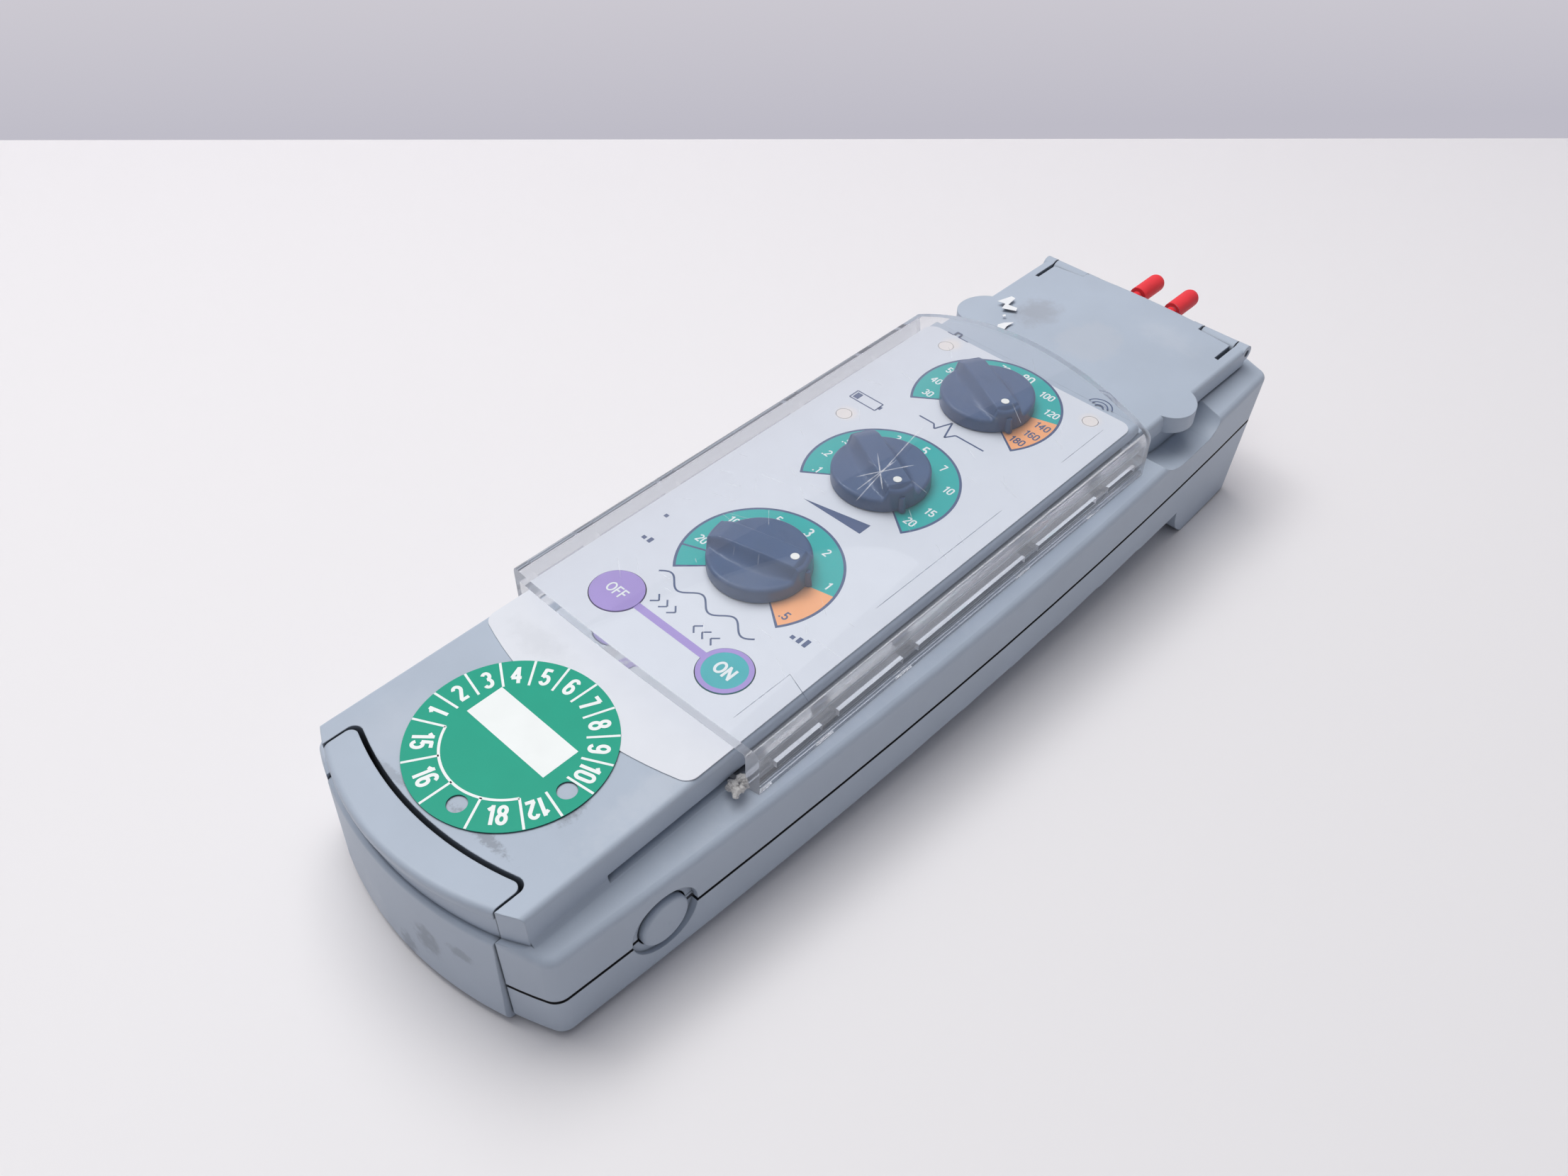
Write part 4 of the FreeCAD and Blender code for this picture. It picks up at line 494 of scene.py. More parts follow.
tealInk = inkMaterial("tealInk", linear(24, 172, 166))
orangeInk = inkMaterial("orangeInk", linear(255, 176, 120))
navyInk = inkMaterial("navyInk", linear(72, 88, 124))
whiteInk = inkMaterial("whiteInk", linear(238, 242, 240))
purpleInk = inkMaterial("purpleInk", linear(165, 142, 208))
greenInk = inkMaterial("greenInk", linear(14, 160, 132), 0.33)
stickerWhite = inkMaterial("stickerWhite", linear(240, 244, 242), 0.33)


clearLook = {
    "tint": (0.975, 0.983, 0.99, 1),
    "ior": 1.49,
    "bounces": 3,  # deeper rays pass straight through
    "haze": 0.012,
    "hazeColour": linear(226, 229, 236),
    "ends": 0.9,  # how matt the end faces are
    "legs": 0.25,  # and the walls of the legs
    "glow": linear(250, 251, 253),
    "frost": (0.97, 0.975, 0.985, 1),
    "seeThrough": 0.64,
    # painted highlight: pale lines along the cover's edges
    "edge": 0.22,
    "unbroken": 0.75,
    "shadow": (0.965, 0.97, 0.98, 1),
}


def clearMaterial():
    # clear acrylic; light and deep bounces pass straight through, so thick
    # edges stay pale instead of going black
    look = clearLook
    material, tree, surface = newMaterial("clearAcrylic")
    glass = addNode(tree, "ShaderNodeBsdfGlass", {"IOR": look["ior"], "Roughness": 0.0, "Color": look["tint"]})
    haze = addNode(tree, "ShaderNodeBsdfDiffuse", {"Color": look["hazeColour"]}).outputs[0]
    amount = remap(tree, noiseOver(tree, 60, 6), 0.35, 0.75, look["haze"] * 0.5, look["haze"] * 1.8)
    hazy = mixShaders(tree, amount, glass.outputs[0], haze)
    # the flat end faces are matt and pale, the walls of the legs a little
    side = splitCoord(tree, "Normal")
    ends = remap(tree, reckon(tree, "ABSOLUTE", side["Y"]), 0.7, 0.9, 0, look["ends"])
    legs = remap(tree, reckon(tree, "ABSOLUTE", side["X"]), 0.75, 0.95, 0, look["legs"])
    inner = addNode(tree, "ShaderNodeBsdfTranslucent", {"Color": look["glow"]})
    frost = addNode(tree, "ShaderNodeBsdfTransparent", {"Color": look["frost"]})
    cloudy = mixShaders(tree, 0.5, haze, inner.outputs[0])
    matt = mixShaders(tree, look["seeThrough"], cloudy, frost.outputs[0])
    # painted highlight: pale line along every edge
    edge = addNode(tree, "ShaderNodeGroup", {"Radius": look["edge"] * mm, "Unbroken": look["unbroken"]},
                   node_tree=edgeWearAndHighlightGroup)
    mattAndHighlit = reckon(tree, "MAXIMUM", reckon(tree, "MAXIMUM", ends, legs), edge.outputs["Mask"])
    shell = mixShaders(tree, mattAndHighlit, hazy, matt)
    clear = addNode(tree, "ShaderNodeBsdfTransparent", {"Color": look["shadow"]})
    path = addNode(tree, "ShaderNodeLightPath").outputs
    deep = reckon(tree, "GREATER_THAN", path["Ray Depth"], look["bounces"])
    straight = reckon(tree, "MAXIMUM", reckon(tree, "MAXIMUM", path["Is Shadow Ray"], path["Is Diffuse Ray"]), deep)
    feed(tree, surface, mixShaders(tree, straight, shell, clear.outputs[0]))
    return material


def veilMaterial(name, colour, cover, roughness):
    # thin see-through mark, such as a scratch or dried glue
    material, tree, surface = newMaterial(name)
    solid = addNode(tree, "ShaderNodeBsdfPrincipled", {"Base Color": colour, "Roughness": roughness})
    clear = addNode(tree, "ShaderNodeBsdfTransparent")
    amount = remap(tree, noiseOver(tree, 700, 3), 0.35, 0.65, cover * 0.5, min(1, cover * 1.4))
    feed(tree, surface, mixShaders(tree, amount, clear.outputs[0], solid.outputs[0]))
    return material


clearAcrylic = clearMaterial()
scratchVeil = veilMaterial("scratchVeil", linear(246, 247, 250), 0.22, 0.4)
# painted shade: colour of the dark see-through lines on the cover
shadeLineVeil = veilMaterial("shadeLineVeil", linear(120, 130, 150), 0.5, 0.3)
glueVeil = veilMaterial("glueVeil", linear(214, 212, 210), 0.55, 0.25)

# CAD nodes take their looks
nodeLooks = {
    "rear_case": rearPlastic,
    "front_case": frontPlastic,
    "battery_drawer": drawerPlastic,
    "release_button": casePlastic,
    "top_flap": flapPlastic,
    "battery": batterySkin,
    "contact_block": blackPlastic,
    "contact_springs": steelMetal,
    "button_spring": steelMetal,
    "face_label": labelFilm,
    "inspection_sticker": greenInk,
    "rate_shaft": brassMetal,
    "output_shaft": brassMetal,
    "sense_shaft": brassMetal,
    "rotary_switches": blackPlastic,
    "on_key": onPlastic,
    "off_key": offPlastic,
    "key_switches": blackPlastic,
    "indicator_lamps": lampLens,
    "circuit_board": boardPlastic,
    "board_screws": steelMetal,
    "board_components": blackPlastic,
    "output_capacitors": steelMetal,
    "case_screws": steelMetal,
    "connector_block": blockPlastic,
    "left_contact_pin": redPlastic,
    "right_contact_pin": redPlastic,
    "hinge_pins": steelMetal,
    "rate_dial": dialPlastic,
    "output_dial": dialPlastic,
    "sense_dial": dialPlastic,
    "clear_cover": clearAcrylic,
}
for name, material in nodeLooks.items():
    thing = nodes[name]
    thing.data.materials.clear()
    thing.data.materials.append(material)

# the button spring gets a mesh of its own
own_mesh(nodes["button_spring"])
say("node looks")

# Clear cover: marks on the moulded shell
coverSizes = {"topZ": 44.7, "crownRadius": 63.3}
coverWearAndShade = {
    "seed": 7,
    "lift": 0.004,  # height of the marks over the crown
    # painted shade: dark lines where the shaded edge below shows through near the shoulder; points, width
    "lines": ((((23.4, -58.0), (23.5, -45.6), (28.4, -46.4)), 0.12), (((23.7, -25.4), (23.8, 8.7)), 0.12),
              (((23.7, 27.0), (23.7, 40.5)), 0.1)),
    # scratches that cross over the middle dial
    "star": (((6.6, -11.0), (2.0, 12.5)), ((2.6, -6.5), (7.6, 3.5)), ((7.8, -5.5), (1.0, 1.0)),
             ((4.9, -9.0), (4.6, 2.0))),
    "starWidth": 0.24,
    # fine scratches: number, field as (low, high, steps), length, width, thickness and turn
    "scratches": 60,
    "field": ((-26, -58), (26, 44), (26, 4)),
    "short": 0.8,
    "long": 5.5,
    "thin": 0.03,
    "broad": 0.09,
    "thick": 0.012,
    "leastTurn": 0.5,
    "mostTurn": 1.9,
    # dried glue beside the broken corner
    "crumbs": 18,
    "crumbField": ((26.5, -62.9), (28.4, -59.2), (4, 4)),
    "crumbHeight": 30.1,
    "smallCrumb": (0.4, 0.35, 0.35),
    "largeCrumb": (1.0, 0.95, 0.85),
}


def crownHeight(x):
    r = coverSizes["crownRadius"]
    return coverSizes["topZ"] - (r - math.sqrt(r * r - x * x))


def addTrace(bm, points, width, height, lift, thick, step=1.5):
    # flat line laid over a curved surface, tapering at both ends
    fine = []
    for (x0, y0), (x1, y1) in zip(points, points[1:]):
        count = max(1, int(math.hypot(x1 - x0, y1 - y0) / step))
        for i in range(count):
            fine.append((x0 + (x1 - x0) * i / count, y0 + (y1 - y0) * i / count))
    fine.append(points[-1])
    rings = []
    last = len(fine) - 1
    for i, (x, y) in enumerate(fine):
        ax, ay = fine[max(0, i - 1)]
        bx, by = fine[min(last, i + 1)]
        length = math.hypot(bx - ax, by - ay)
        half = width / 2 * (0.35 if i in (0, last) else 1)
        nx = -(by - ay) / length * half
        ny = (bx - ax) / length * half
        z = height(x) + lift
        rings.append([bm.verts.new((px * mm, py * mm, pz * mm)) for px, py, pz in (
            (x - nx, y - ny, z), (x + nx, y + ny, z), (x + nx, y + ny, z + thick), (x - nx, y - ny, z + thick))])
    skinRings(bm, rings)


def makeStrewnTree():
    # copies of a small shape strewn over a surface, each turned and scaled
    tree = bpy.data.node_groups.new("strewnMarks", "GeometryNodeTree")
    for label, kind in (("Geometry", "Geometry"), ("Shape", "Object"), ("Density", "Float"), ("Seed", "Int"),
                        ("Smallest", "Vector"), ("Largest", "Vector"), ("Least turn", "Float"),
                        ("Most turn", "Float"), ("Material", "Material")):
        tree.interface.new_socket(label, in_out="INPUT", socket_type="NodeSocket" + kind)
    tree.interface.new_socket("Geometry", in_out="OUTPUT", socket_type="NodeSocketGeometry")
    given = addNode(tree, "NodeGroupInput").outputs
    strewn = addNode(tree, "GeometryNodeDistributePointsOnFaces", {
        "Mesh": given["Geometry"], "Density": given["Density"], "Seed": given["Seed"]})
    shape = addNode(tree, "GeometryNodeObjectInfo", {"Object": given["Shape"]})
    size = addNode(tree, "FunctionNodeRandomValue", {
        0: given["Smallest"], 1: given["Largest"], "Seed": given["Seed"]}, data_type="FLOAT_VECTOR")
    angle = addNode(tree, "FunctionNodeRandomValue", {
        2: given["Least turn"], 3: given["Most turn"], "Seed": given["Seed"]})
    about = addNode(tree, "FunctionNodeAxisAngleToRotation", {"Axis": (0, 0, 1), "Angle": angle.outputs[1]})
    spin = addNode(tree, "FunctionNodeRotateRotation", {
        "Rotation": strewn.outputs["Rotation"], "Rotate By": about.outputs[0]}, rotation_space="LOCAL")
    copies = addNode(tree, "GeometryNodeInstanceOnPoints", {
        "Points": strewn.outputs["Points"], "Instance": shape.outputs["Geometry"],
        "Rotation": spin.outputs[0], "Scale": size.outputs[0]})
    real = addNode(tree, "GeometryNodeRealizeInstances", {0: copies.outputs[0]})
    paint = addNode(tree, "GeometryNodeSetMaterial", {"Geometry": real.outputs[0], "Material": given["Material"]})
    addNode(tree, "NodeGroupOutput", {"Geometry": paint.outputs[0]})
    return tree


strewnTree = makeStrewnTree()


def strew(name, field, height, count, shape, sizes, turns, material):
    # count copies of a small shape over a field; gives one plain mesh
    low, high, counts = field
    patch = surfacePatch(low, high, counts, height)
    area = (high[0] - low[0]) * mm * (high[1] - low[1]) * mm
    values = {
        "Density": count / area, "Seed": coverWearAndShade["seed"],
        "Smallest": tuple(c * mm for c in sizes[0]), "Largest": tuple(c * mm for c in sizes[1]),
        "Least turn": turns[0], "Most turn": turns[1],
    }
    base = meshObject(name + "Base", patch, material, flat=True)
    seed = meshObject(name + "Shape", shape, material)
    modifier = base.modifiers.new("strewn", "NODES")
    modifier.node_group = strewnTree
    given = dict(values, Shape=seed, Material=material)
    for item in strewnTree.interface.items_tree:
        if item.in_out == "INPUT" and item.name in given:
            modifier[item.identifier] = given[item.name]
    depsgraph = bpy.context.evaluated_depsgraph_get()
    mesh = bpy.data.meshes.new_from_object(base.evaluated_get(depsgraph))
    mesh.name = name
    base.modifiers.remove(modifier)
    bpy.data.objects.remove(base)
    bpy.data.objects.remove(seed)
    thing = bpy.data.objects.new(name, mesh)
    bpy.context.scene.collection.objects.link(thing)
    return thing


def surfacePatch(low, high, counts, height):
    # open grid over a curved top, in millimetres
    bm = bmesh.new()
    rows = []
    for i in range(counts[0] + 1):
        x = low[0] + (high[0] - low[0]) * i / counts[0]
        rows.append([bm.verts.new((x * mm, (low[1] + (high[1] - low[1]) * k / counts[1]) * mm, height(x) * mm))
                     for k in range(counts[1] + 1)])
    for i in range(counts[0]):
        for k in range(counts[1]):
            bm.faces.new((rows[i][k], rows[i + 1][k], rows[i + 1][k + 1], rows[i][k + 1]))
    return bm


def buildCoverMarks():
    look = coverWearAndShade
    fine = bmesh.new()
    # painted shade lines on the cover
    for points, width in look["lines"]:
        addTrace(fine, points, width, crownHeight, look["lift"], 0.02)
    place(meshObject("coverLines", fine, shadeLineVeil), "cover")
    marks = bmesh.new()
    for line in look["star"]:
        addTrace(marks, line, look["starWidth"], crownHeight, look["lift"], 0.015)
    place(meshObject("coverStar", marks, scratchVeil), "cover")
    bar = bmesh.new()
    bmesh.ops.create_cube(bar, size=1.0)
    sizes = (look["short"], look["thin"], look["thick"]), (look["long"], look["broad"], look["thick"])
    lines = strew("coverScratches", look["field"], lambda x: crownHeight(x) + 0.009, look["scratches"], bar,
                  sizes, (look["leastTurn"], look["mostTurn"]), scratchVeil)
    place(lines, "cover")
    ball = bmesh.new()
    bmesh.ops.create_icosphere(ball, subdivisions=2, radius=1.0)
    for v in ball.verts:
        v.co *= random.uniform(0.78, 1.18)
    crumbs = strew("glueCrumbs", look["crumbField"], lambda x: look["crumbHeight"], look["crumbs"], ball,
                   (look["smallCrumb"], look["largeCrumb"]), (0.0, 6.28), glueVeil)
    place(crumbs, "cover")


buildCoverMarks()
say("cover")

# Dials
dialSizes = {
    "radius": 9.3,
    "foot": 35.75,
    "skirt": 2.7,
    "grip": 5.3,
    "gripHalf": 2.3,
    "flankHalf": 4.9,
    "rimRound": 0.75,
    "dotRadius": 0.78,
    "dotPlace": 7.0,
    "stations": 96,
}


def dialHeight(u, v):
    # grip ridge along u, hollow flanks, dished skirt; the dot end slopes off
    d = dialSizes
    base = d["flankHalf"] - 2.2 * (u / d["radius"]) ** 2
    half = d["gripHalf"]
    side = abs(v)
    skirt = d["skirt"] + 0.25 * min(1, max(0, side - base) / 3.5) ** 2
    top = d["grip"] - 0.0016 * u * u
    if u > 7.9:
        top -= (u - 7.9) ** 1.5 * 1.5
    if u < -6.0:
        top -= (-6.0 - u) ** 1.5 * 0.22
    if side <= half - 0.3:
        return top
    if side <= half:
        return top - 0.16 * ((side - half + 0.3) / 0.3) ** 2
    if side >= base:
        return skirt
    t = (side - half) / (base - half)
    return skirt + (top - 0.16 - skirt) * (1 - t) ** 1.75


def buildDial(name, body, shaftY, farTurn):
    d = dialSizes
    turn = math.radians(farTurn + 180)
    axisU = Vector((math.cos(turn), math.sin(turn), 0))
    axisV = Vector((-math.sin(turn), math.cos(turn), 0))
    centre = Vector((0, shaftY * mm, d["foot"] * mm))

    def spot(u, v, z):
        return centre + axisU * (u * mm) + axisV * (v * mm) + Vector((0, 0, z * mm))

    bm = bmesh.new()
    edge = d["radius"] - d["rimRound"]
    stations = d["stations"]
    grid = []
    for i in range(stations + 1):
        u = -edge * math.cos(math.pi * i / stations)
        chord = math.sqrt(max(0, edge * edge - u * u))
        base = d["flankHalf"] - 2.2 * (u / d["radius"]) ** 2
        half = d["gripHalf"]
        cuts = [0, 0.8, 1.5, half - 0.3, half - 0.15, half]
        cuts += [half + (base - half) * k / 7 for k in range(1, 8)]
        cuts += [base + max(0, chord - base) * k / 4 for k in range(1, 5)]
        cuts = [min(c, chord) for c in cuts]
        cuts[-1] = chord
        row = [-c for c in reversed(cuts[1:])] + cuts
        grid.append([(u, v, dialHeight(u, v)) for v in row])
    verts = [[bm.verts.new(spot(*p)) for p in row] for row in grid]
    width = len(grid[0])
    for i in range(stations):
        for k in range(width - 1):
            bm.faces.new((verts[i][k], verts[i + 1][k], verts[i + 1][k + 1], verts[i][k + 1]))
    loop = [(i, width - 1) for i in range(stations + 1)] + [(i, 0) for i in range(stations, -1, -1)]
    previous = [verts[i][k] for i, k in loop]
    flat = [grid[i][k] for i, k in loop]
    rings = [(math.sin(a), 1 - math.cos(a)) for a in (0.4, 0.8, 1.2, math.pi / 2)]
    for out, drop in rings + [(1.0, None)]:
        current = []
        for u, v, z in flat:
            away = math.hypot(u, v)
            r = (edge + d["rimRound"] * out) / away
            low = 0.0 if drop is None else z - d["rimRound"] * drop
            current.append(bm.verts.new(spot(u * r, v * r, low)))
        for i in range(len(loop)):
            j = (i + 1) % len(loop)
            bm.faces.new((previous[i], previous[j], current[j], current[i]))
        previous = current
    bm.faces.new(previous)
    bmesh.ops.remove_doubles(bm, verts=bm.verts, dist=1e-6)
    bmesh.ops.dissolve_degenerate(bm, edges=bm.edges, dist=1e-7)
    # pointer nub at the dot end
    nub = [(9.0, -0.75), (10.0, -0.55), (10.3, 0), (10.0, 0.55), (9.0, 0.75)]
    low = [bm.verts.new(spot(u, v, 0.0)) for u, v in nub]
    high = [bm.verts.new(spot(u if i in (0, 4) else u - 0.35, v * 0.85, 3.0)) for i, (u, v) in enumerate(nub)]
    bm.faces.new(list(reversed(low)))
    bm.faces.new(high)
    for i in range(5):
        j = (i + 1) % 5
        bm.faces.new((low[i], low[j], high[j], high[i]))
    thing = meshObject(name + "Grip", bm, dialPlastic, 50)
    place(thing, body, [name + "_dial"])
    dot = bmesh.new()
    at = spot(d["dotPlace"], 0, 0)
    addDisc(dot, at.x / mm, at.y / mm, d["dotRadius"], d["foot"] + d["grip"] - 0.3, d["foot"] + d["grip"] + 0.02, 40)
    place(meshObject(name + "Dot", dot, dotInk), body)


dotInk = inkMaterial("dotInk", linear(246, 246, 238), 0.35)
buildDial("rate", "rate", 35.6, 153)
buildDial("output", "output", 3.5, 154)
buildDial("sense", "sense", -28.6, 194)
say("dials")

# Printed face
ringSizes = {
    "outer": 15.0,
    "inner": 9.0,
    "line": 0.5,
    "labelTop": 35.5,
    "digits": 1.95,
    "main": 2.45,
    "weight": 0.15,
    "pen": 0.36,  # line of the larger signs
    "finePen": 0.28,  # and of the small ones
    "keyX": 12.9,
    "keyY": -49.9,
}


def printDial(inks, centreY, start, stop, split, marks):
    z = ringSizes["labelTop"]
    outer = ringSizes["outer"]
    inner = ringSizes["inner"]
    rim = ringSizes["line"]
    cut = math.degrees(rim / outer)
    addBand(inks["navy"], 0, centreY, inner - 0.4, outer, start, stop, z, z + 0.015)
    low = z + 0.008
    high = z + 0.025
    green = start + cut if split is None else split
    addBand(inks["teal"], 0, centreY, inner, outer - rim, green, stop - cut, low, high)
    if split is not None:
        addBand(inks["orange"], 0, centreY, inner, outer - rim, start + cut, split, low, high)
    for words, x, y, ink in marks:
        main = words in ("80", "5", "3") and ink == "white" and not (words == "5" and centreY < 0)
        size = ringSizes["main"] if main else ringSizes["digits"]
        addWords(inks[ink], words, size, x, y, z + 0.02, z + 0.04, 0, ringSizes["weight"])


def buildPrint():
    inks = {name: bmesh.new() for name in ("teal", "orange", "navy", "white", "purple")}
    rate = [("30", -10.4, 30.2, "white"), ("40", -11.7, 34.6, "white"), ("50", -11.5, 39.2, "white"),
            ("60", -8.9, 44.4, "white"), ("70", -4.4, 47.4, "white"), ("80", 1.0, 47.9, "white"),
            ("100", 7.2, 45.9, "white"), ("120", 11.2, 41.8, "white"), ("140", 12.3, 37.2, "navy"),
            ("160", 12.3, 33.7, "navy"), ("180", 11.3, 30.4, "navy")]
    printDial(inks, 35.6, -35.5, 217, 17, rate)
    output = [(".1", -10.2, -2.5, "white"), (".2", -12.1, 2.3, "white"), (".5", -11.7, 7.6, "white"),
              ("1", -9.1, 12.3, "white"), ("2", -5.5, 14.9, "white"), ("5", 0.6, 15.7, "white"),
              ("7", 6.4, 14.1, "white"), ("10", 11.0, 9.8, "white"), ("15", 12.4, 2.8, "white"),
              ("20", 11.4, -1.7, "white")]
    printDial(inks, 3.5, -36, 217, None, output)
    sense = [("20", -11.8, -30.9, "white"), ("10", -11.3, -23.6, "white"), ("5", -5.8, -17.8, "white"),
             ("3", 0.4, -16.5, "white"), ("2", 6.2, -18.1, "white"), ("1", 11.9, -24.0, "white"),
             (".5", 11.3, -34.2, "navy")]
    printDial(inks, -28.6, -36, 225.5, 13, sense)
    z = ringSizes["labelTop"]
    low = z + 0.004
    high = z + 0.02
    navy = inks["navy"]
    divider = math.radians(202.5)
    c = math.cos(divider)
    n = math.sin(divider)
    addStroke(navy, [(9.2 * c, -28.6 + 9.2 * n), (14.8 * c, -28.6 + 14.8 * n)], 0.42, z + 0.02, z + 0.035)
    # switch bar and the ring round the ON key
    keyX = ringSizes["keyX"]
    keyY = ringSizes["keyY"]
    addStroke(inks["purple"], [(-keyX, keyY), (keyX, keyY)], 1.5, low, high)
    # pulse sign for the rate dial
    addStroke(navy, [(-7, 23.4), (-3.4, 23.4), (-2.4, 22.2), (-0.9, 26.0), (0.7, 21.4), (1.9, 23.4), (8.6, 23.4)],
              ringSizes["pen"], low, high)
    # wedge sign for the output dial
    addPrism(navy, [(-6.5, -10.4), (7.0, -10.4), (7.0, -7.4)], low, high)
    # wave sign for the sensing dial
    wave = []
    for i in range(49):
        x = -11.5 + 23 * i / 48
        wave.append((x, -41.6 + 1.15 * math.sin(i / 48 * 6 * math.pi)))
    addStroke(navy, wave, ringSizes["pen"], low, high)
    # small signs at the lamps: pulse, battery and arcs
    addStroke(navy, [(-20.6, 49.6), (-19.1, 49.6), (-19.1, 51.0), (-17.9, 51.0), (-17.9, 49.6), (-15.4, 49.6)],
              ringSizes["finePen"], low, high)
    for x0, y0, x1, y1 in ((-20.6, 18.4, -14.2, 18.4), (-20.6, 21.0, -14.2, 21.0), (-20.6, 18.4, -20.6, 21.0),
                           (-14.2, 18.4, -14.2, 21.0)):
        addStroke(navy, [(x0, y0), (x1, y1)], ringSizes["finePen"], low, high)
    addPrism(navy, [(-14.2, 19.2), (-13.6, 19.2), (-13.6, 20.2), (-14.2, 20.2)], low, high)
    addPrism(navy, [(-20.2, 18.8), (-18.9, 18.8), (-18.9, 20.6), (-20.2, 20.6)], low, high)
    for r in (1.0, 1.9, 2.8):
        addBand(navy, 16.4, 50.0, r - 0.14, r + 0.14, 20, 160, low, high)
    # low, beat and high signs round the sensing dial
    for x, y, count in ((-19.5, -30.6, 1), (-18.2, -37.2, 2), (16.8, -36.4, 3)):
        for k in range(count):
            left = x - 1.6 + 1.3 * k
            top = y - 0.1 + 0.5 * k
            addPrism(navy, [(left, y - 0.9), (left + 0.8, y - 0.9), (left + 0.8, top), (left, top)], low, high)
    # arrows from both keys toward each other
    for side in (-1, 1):
        for k in range(3):
            tip = side * (2.2 + 2.0 * k)
            pair = [(tip + side * 1.1, -47.6), (tip, -46.5), (tip + side * 1.1, -45.4)]
            addStroke(navy, pair, 0.32, low, high)
    for name, ink in (("teal", tealInk), ("orange", orangeInk), ("navy", navyInk),
                      ("white", whiteInk), ("purple", purpleInk)):
        thing = meshObject("print" + name.capitalize(), inks[name], ink)
        place(thing, "case")
    keys = {"on": (keyX, "ON", 2.7), "off": (-keyX, "OFF", 2.3)}
    for body, (x, words, size) in keys.items():
        bm = bmesh.new()
        addWords(bm, words, size, x, keyY, 35.645, 35.68, 0, 0.18 if body == "on" else 0.14)
        place(meshObject(body + "Word", bm, whiteInk), body)
    ring = bmesh.new()
    addBand(ring, keyX, keyY, 3.9, 4.8, 0, 360, 35.64, 35.665)
    place(meshObject("onRing", ring, purpleInk), "on")


buildPrint()
say("print")

# Inspection sticker
stickerSizes = {"x": -0.6, "y": -82.4, "radius": 16.8, "digits": 13.7, "monthIn": 11.5, "size": 3.6}


def buildSticker():
    s = stickerSizes
    white = bmesh.new()
    low = 35.615
    high = 35.64
    cx = s["x"]
    cy = s["y"]

    def polar(r, a):
        a = math.radians(a)
        return (cx + r * math.cos(a), cy + r * math.sin(a))

    for i in range(1, 12):
        a = 208 - 20 * i
        addStroke(white, [polar(s["monthIn"], a), polar(s["radius"] - 0.05, a)], 0.42, low, high)
    for a in (-32, -62, -92, -122, -152):
        addStroke(white, [polar(11.0, a), polar(s["radius"] - 0.05, a)], 0.42, low, high)
    addBand(white, cx, cy, 10.8, 11.25, -152, -32, low, high)
    months = [str(k) for k in range(1, 13)]
    for i, words in enumerate(months):
        if words == "11":
            continue
        a = 198 - 20 * i
        x, y = polar(s["digits"], a)
        addWords(white, words, s["size"], x, y, low, high, a - 90, 0.17, 0.86)
    for words, a in (("18", -47), ("16", -107), ("15", -137)):
        x, y = polar(s["digits"], a)
        addWords(white, words, s["size"], x, y, low, high, a + 90, 0.17, 0.86)
    panel = [(cx - 9.9, cy - 1.0), (cx + 8.9, cy - 1.0), (cx + 8.9, cy + 5.9), (cx - 9.9, cy + 5.9)]
    addPrism(white, panel, low, high)
    place(meshObject("stickerPrint", white, stickerWhite), "case")


buildSticker()
say("sticker")

# Torn label scraps on the flap
flapScraps = (
    ((-22.4, 69.3), (-20.5, 69.6), (-20.0, 67.7), (-17.1, 69.0), (-17.6, 70.1), (-19.8, 69.8),
     (-20.2, 72.9), (-21.3, 73.0)),
    ((-16.8, 62.1), (-16.1, 60.7), (-14.7, 61.7), (-15.0, 62.9), (-14.8, 65.2), (-16.2, 63.6)),
    ((-18.3, 65.6), (-17.8, 65.3), (-17.5, 65.9), (-18.0, 66.3)),
)
scraps = bmesh.new()
for outline in flapScraps:
    addPrism(scraps, outline, 34.5, 34.56)
scrapPaper = inkMaterial("scrapPaper", linear(236, 238, 240), 0.6)
place(meshObject("labelScraps", scraps, scrapPaper), "flap")
say("scraps")

# Stage: floor, wall, lights and camera
stageLook = {
    "floor": linear(235, 233, 234),
    "wall": linear(236, 234, 240),
    "wallShadedFoot": linear(190, 188, 199),
    "wallHigh": linear(204, 201, 209),
    "wallRise": 0.26,
    "tilt": 2.1,
    "heelLine": 70.8,
    "wallLine": ((-322.2, -31.5), (16.3, 339.1)),
    "shadeRise": 0.045,  # height over which the wall's foot is darker
    "reach": 3,  # half width of the floor, in metres
    "sky": linear(226, 230, 244),
    "skyStrength": 0.3,
    "seenSky": 0.8,
}


def hideBack(tree, front, surface):
    # the stage is only seen from its own side, so views from below or behind stay clear
    side = addNode(tree, "ShaderNodeNewGeometry")
    none = addNode(tree, "ShaderNodeBsdfTransparent")
    feed(tree, surface, mixShaders(tree, side.outputs["Backfacing"], front, none.outputs[0]))


def stageMaterial(name, colour, roughness):
    material, tree, surface = newMaterial(name)
    shader = addNode(tree, "ShaderNodeBsdfPrincipled", {"Base Color": colour, "Roughness": roughness})
    hideBack(tree, shader.outputs[0], surface)
    return material


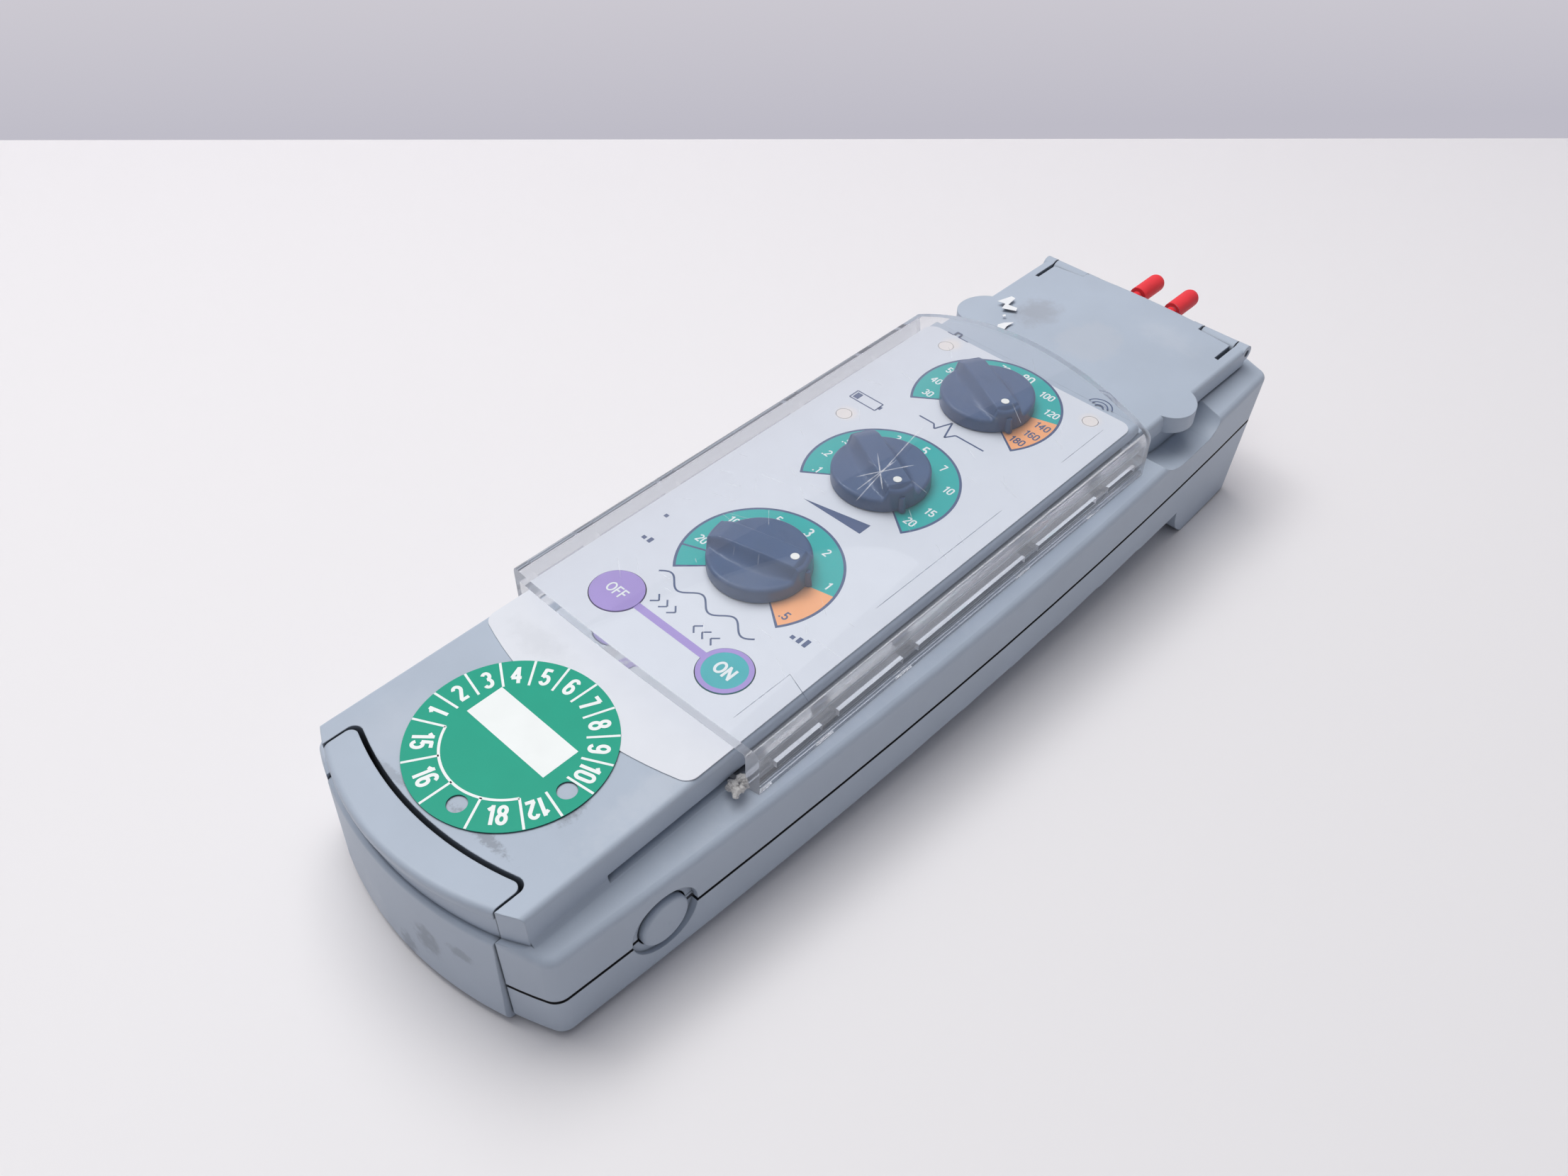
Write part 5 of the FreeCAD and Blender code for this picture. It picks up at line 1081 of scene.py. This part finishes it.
def wallMaterial():
    # the backdrop is seen at its own pale colour with painted shade toward the
    # floor, and takes light as a plain wall otherwise
    material, tree, surface = newMaterial("wallPaint")
    plain = addNode(tree, "ShaderNodeBsdfDiffuse", {"Color": stageLook["wall"]})
    # painted shade: the wall darkens toward the floor
    rise = remap(tree, splitCoord(tree, "Object")["Z"], 0.0, stageLook["shadeRise"])
    glow = addNode(tree, "ShaderNodeEmission", {
        "Color": mixColours(tree, rise, stageLook["wallShadedFoot"], stageLook["wallHigh"])})
    path = addNode(tree, "ShaderNodeLightPath").outputs
    seenBy = path["Is Camera Ray"]
    for label in ("Is Glossy Ray", "Is Transmission Ray"):
        seenBy = reckon(tree, "MAXIMUM", seenBy, path[label])
    hideBack(tree, mixShaders(tree, seenBy, plain.outputs[0], glow.outputs[0]), surface)
    return material


def turnToward(bm, direction):
    bm.normal_update()
    for face in bm.faces:
        if face.normal.dot(direction) < 0:
            face.normal_flip()


def buildStage():
    # floor through the heel line, tilted as the box rests; wall across the view
    slope = math.tan(math.radians(stageLook["tilt"]))
    first, second = (Vector((x * mm, y * mm, 0)) for x, y in stageLook["wallLine"])
    across = (second - first).normalized()
    toward = Vector((across.y, -across.x, 0))
    foot = (first + second) / 2

    def onFloor(point):
        return Vector((point.x, point.y, -slope * (point.y - stageLook["heelLine"] * mm)))

    reach = stageLook["reach"]
    near = foot + toward * reach
    corners = [onFloor(near - across * reach), onFloor(near + across * reach),
               onFloor(foot + across * reach), onFloor(foot - across * reach)]
    bm = bmesh.new()
    bm.faces.new([bm.verts.new(c) for c in corners])
    turnToward(bm, Vector((0, 0, 1)))
    floor = meshObject("floor", bm, stageMaterial("floorPaint", stageLook["floor"], 0.5), flat=True)
    rise = Vector((0, slope, 1)).normalized() * stageLook["wallRise"]
    bm = bmesh.new()
    bm.faces.new([bm.verts.new(c) for c in (
        corners[3], corners[2], corners[2] + rise, corners[3] + rise)])
    turnToward(bm, toward)
    wall = meshObject("wall", bm, wallMaterial(), flat=True)
    wall.visible_shadow = False


buildStage()

def buildSky():
    # soft fill light, and a brighter sky where the camera or the glass sees it
    world = bpy.data.worlds.new("studio")
    bpy.context.scene.world = world
    world.use_nodes = True
    tree = world.node_tree
    sky = tree.nodes["Background"].inputs
    feed(tree, sky["Color"], stageLook["sky"])
    path = addNode(tree, "ShaderNodeLightPath").outputs
    seen = reckon(tree, "MAXIMUM", path["Is Camera Ray"], path["Is Transmission Ray"])
    feed(tree, sky["Strength"], remap(tree, seen, 0, 1, stageLook["skyStrength"], stageLook["seenSky"]))


buildSky()

# the key gives form and shadow; the wide one gives the soft sheen as well
lightLooks = {
    "keyLight": {"place": (-0.36, 0.14, 1.12), "size": 0.85, "power": 8.4, "colour": (1, 0.985, 0.965)},
    "sheenLight": {"place": (-0.3, -0.1, 1.3), "size": 1.9, "power": 5.4, "colour": (1, 0.985, 0.97)},
    "glintLight": {"place": (-0.46, -0.2, 0.95), "size": 0.3, "power": 1.3, "colour": (1, 0.99, 0.98)},
}
for name, look in lightLooks.items():
    lamp = bpy.data.lights.new(name, "AREA")
    lamp.shape = "RECTANGLE"
    lamp.size = look["size"]
    lamp.size_y = look["size"]
    lamp.energy = look["power"]
    lamp.color = look["colour"]
    light = bpy.data.objects.new(name, lamp)
    light.location = look["place"]
    light.rotation_mode = "QUATERNION"
    light.rotation_quaternion = (-Vector(look["place"])).to_track_quat("-Z", "Y")
    bpy.context.scene.collection.objects.link(light)
    # no mirror image of the key on the clear cover
    light.visible_glossy = name != "keyLight"
    light.visible_transmission = name != "keyLight"

# camera as the photograph was taken
cameraLook = {
    "place": (119.2, -148.6, 198.9),
    "right": (0.7236, 0.6903, 0.0058),
    "down": (0.4895, -0.5071, -0.7094),
    "ahead": (-0.4868, 0.5162, -0.7047),
    "lens": 30.99,
    "sensor": 36,
}
camera = bpy.data.cameras.new("camera")
camera.lens = cameraLook["lens"]
camera.sensor_width = cameraLook["sensor"]
camera.clip_start = 0.01
camera.clip_end = 20
cameraObject = bpy.data.objects.new("camera", camera)
axes = [Vector(cameraLook["right"]), -Vector(cameraLook["down"]), -Vector(cameraLook["ahead"])]
turn = Matrix([[axis[i] for axis in axes] for i in range(3)])
cameraObject.matrix_world = Matrix.Translation(Vector(cameraLook["place"]) * mm) @ turn.to_4x4()
bpy.context.scene.collection.objects.link(cameraObject)
bpy.context.scene.camera = cameraObject
bpy.context.scene.view_settings.view_transform = "Standard"
say("stage")
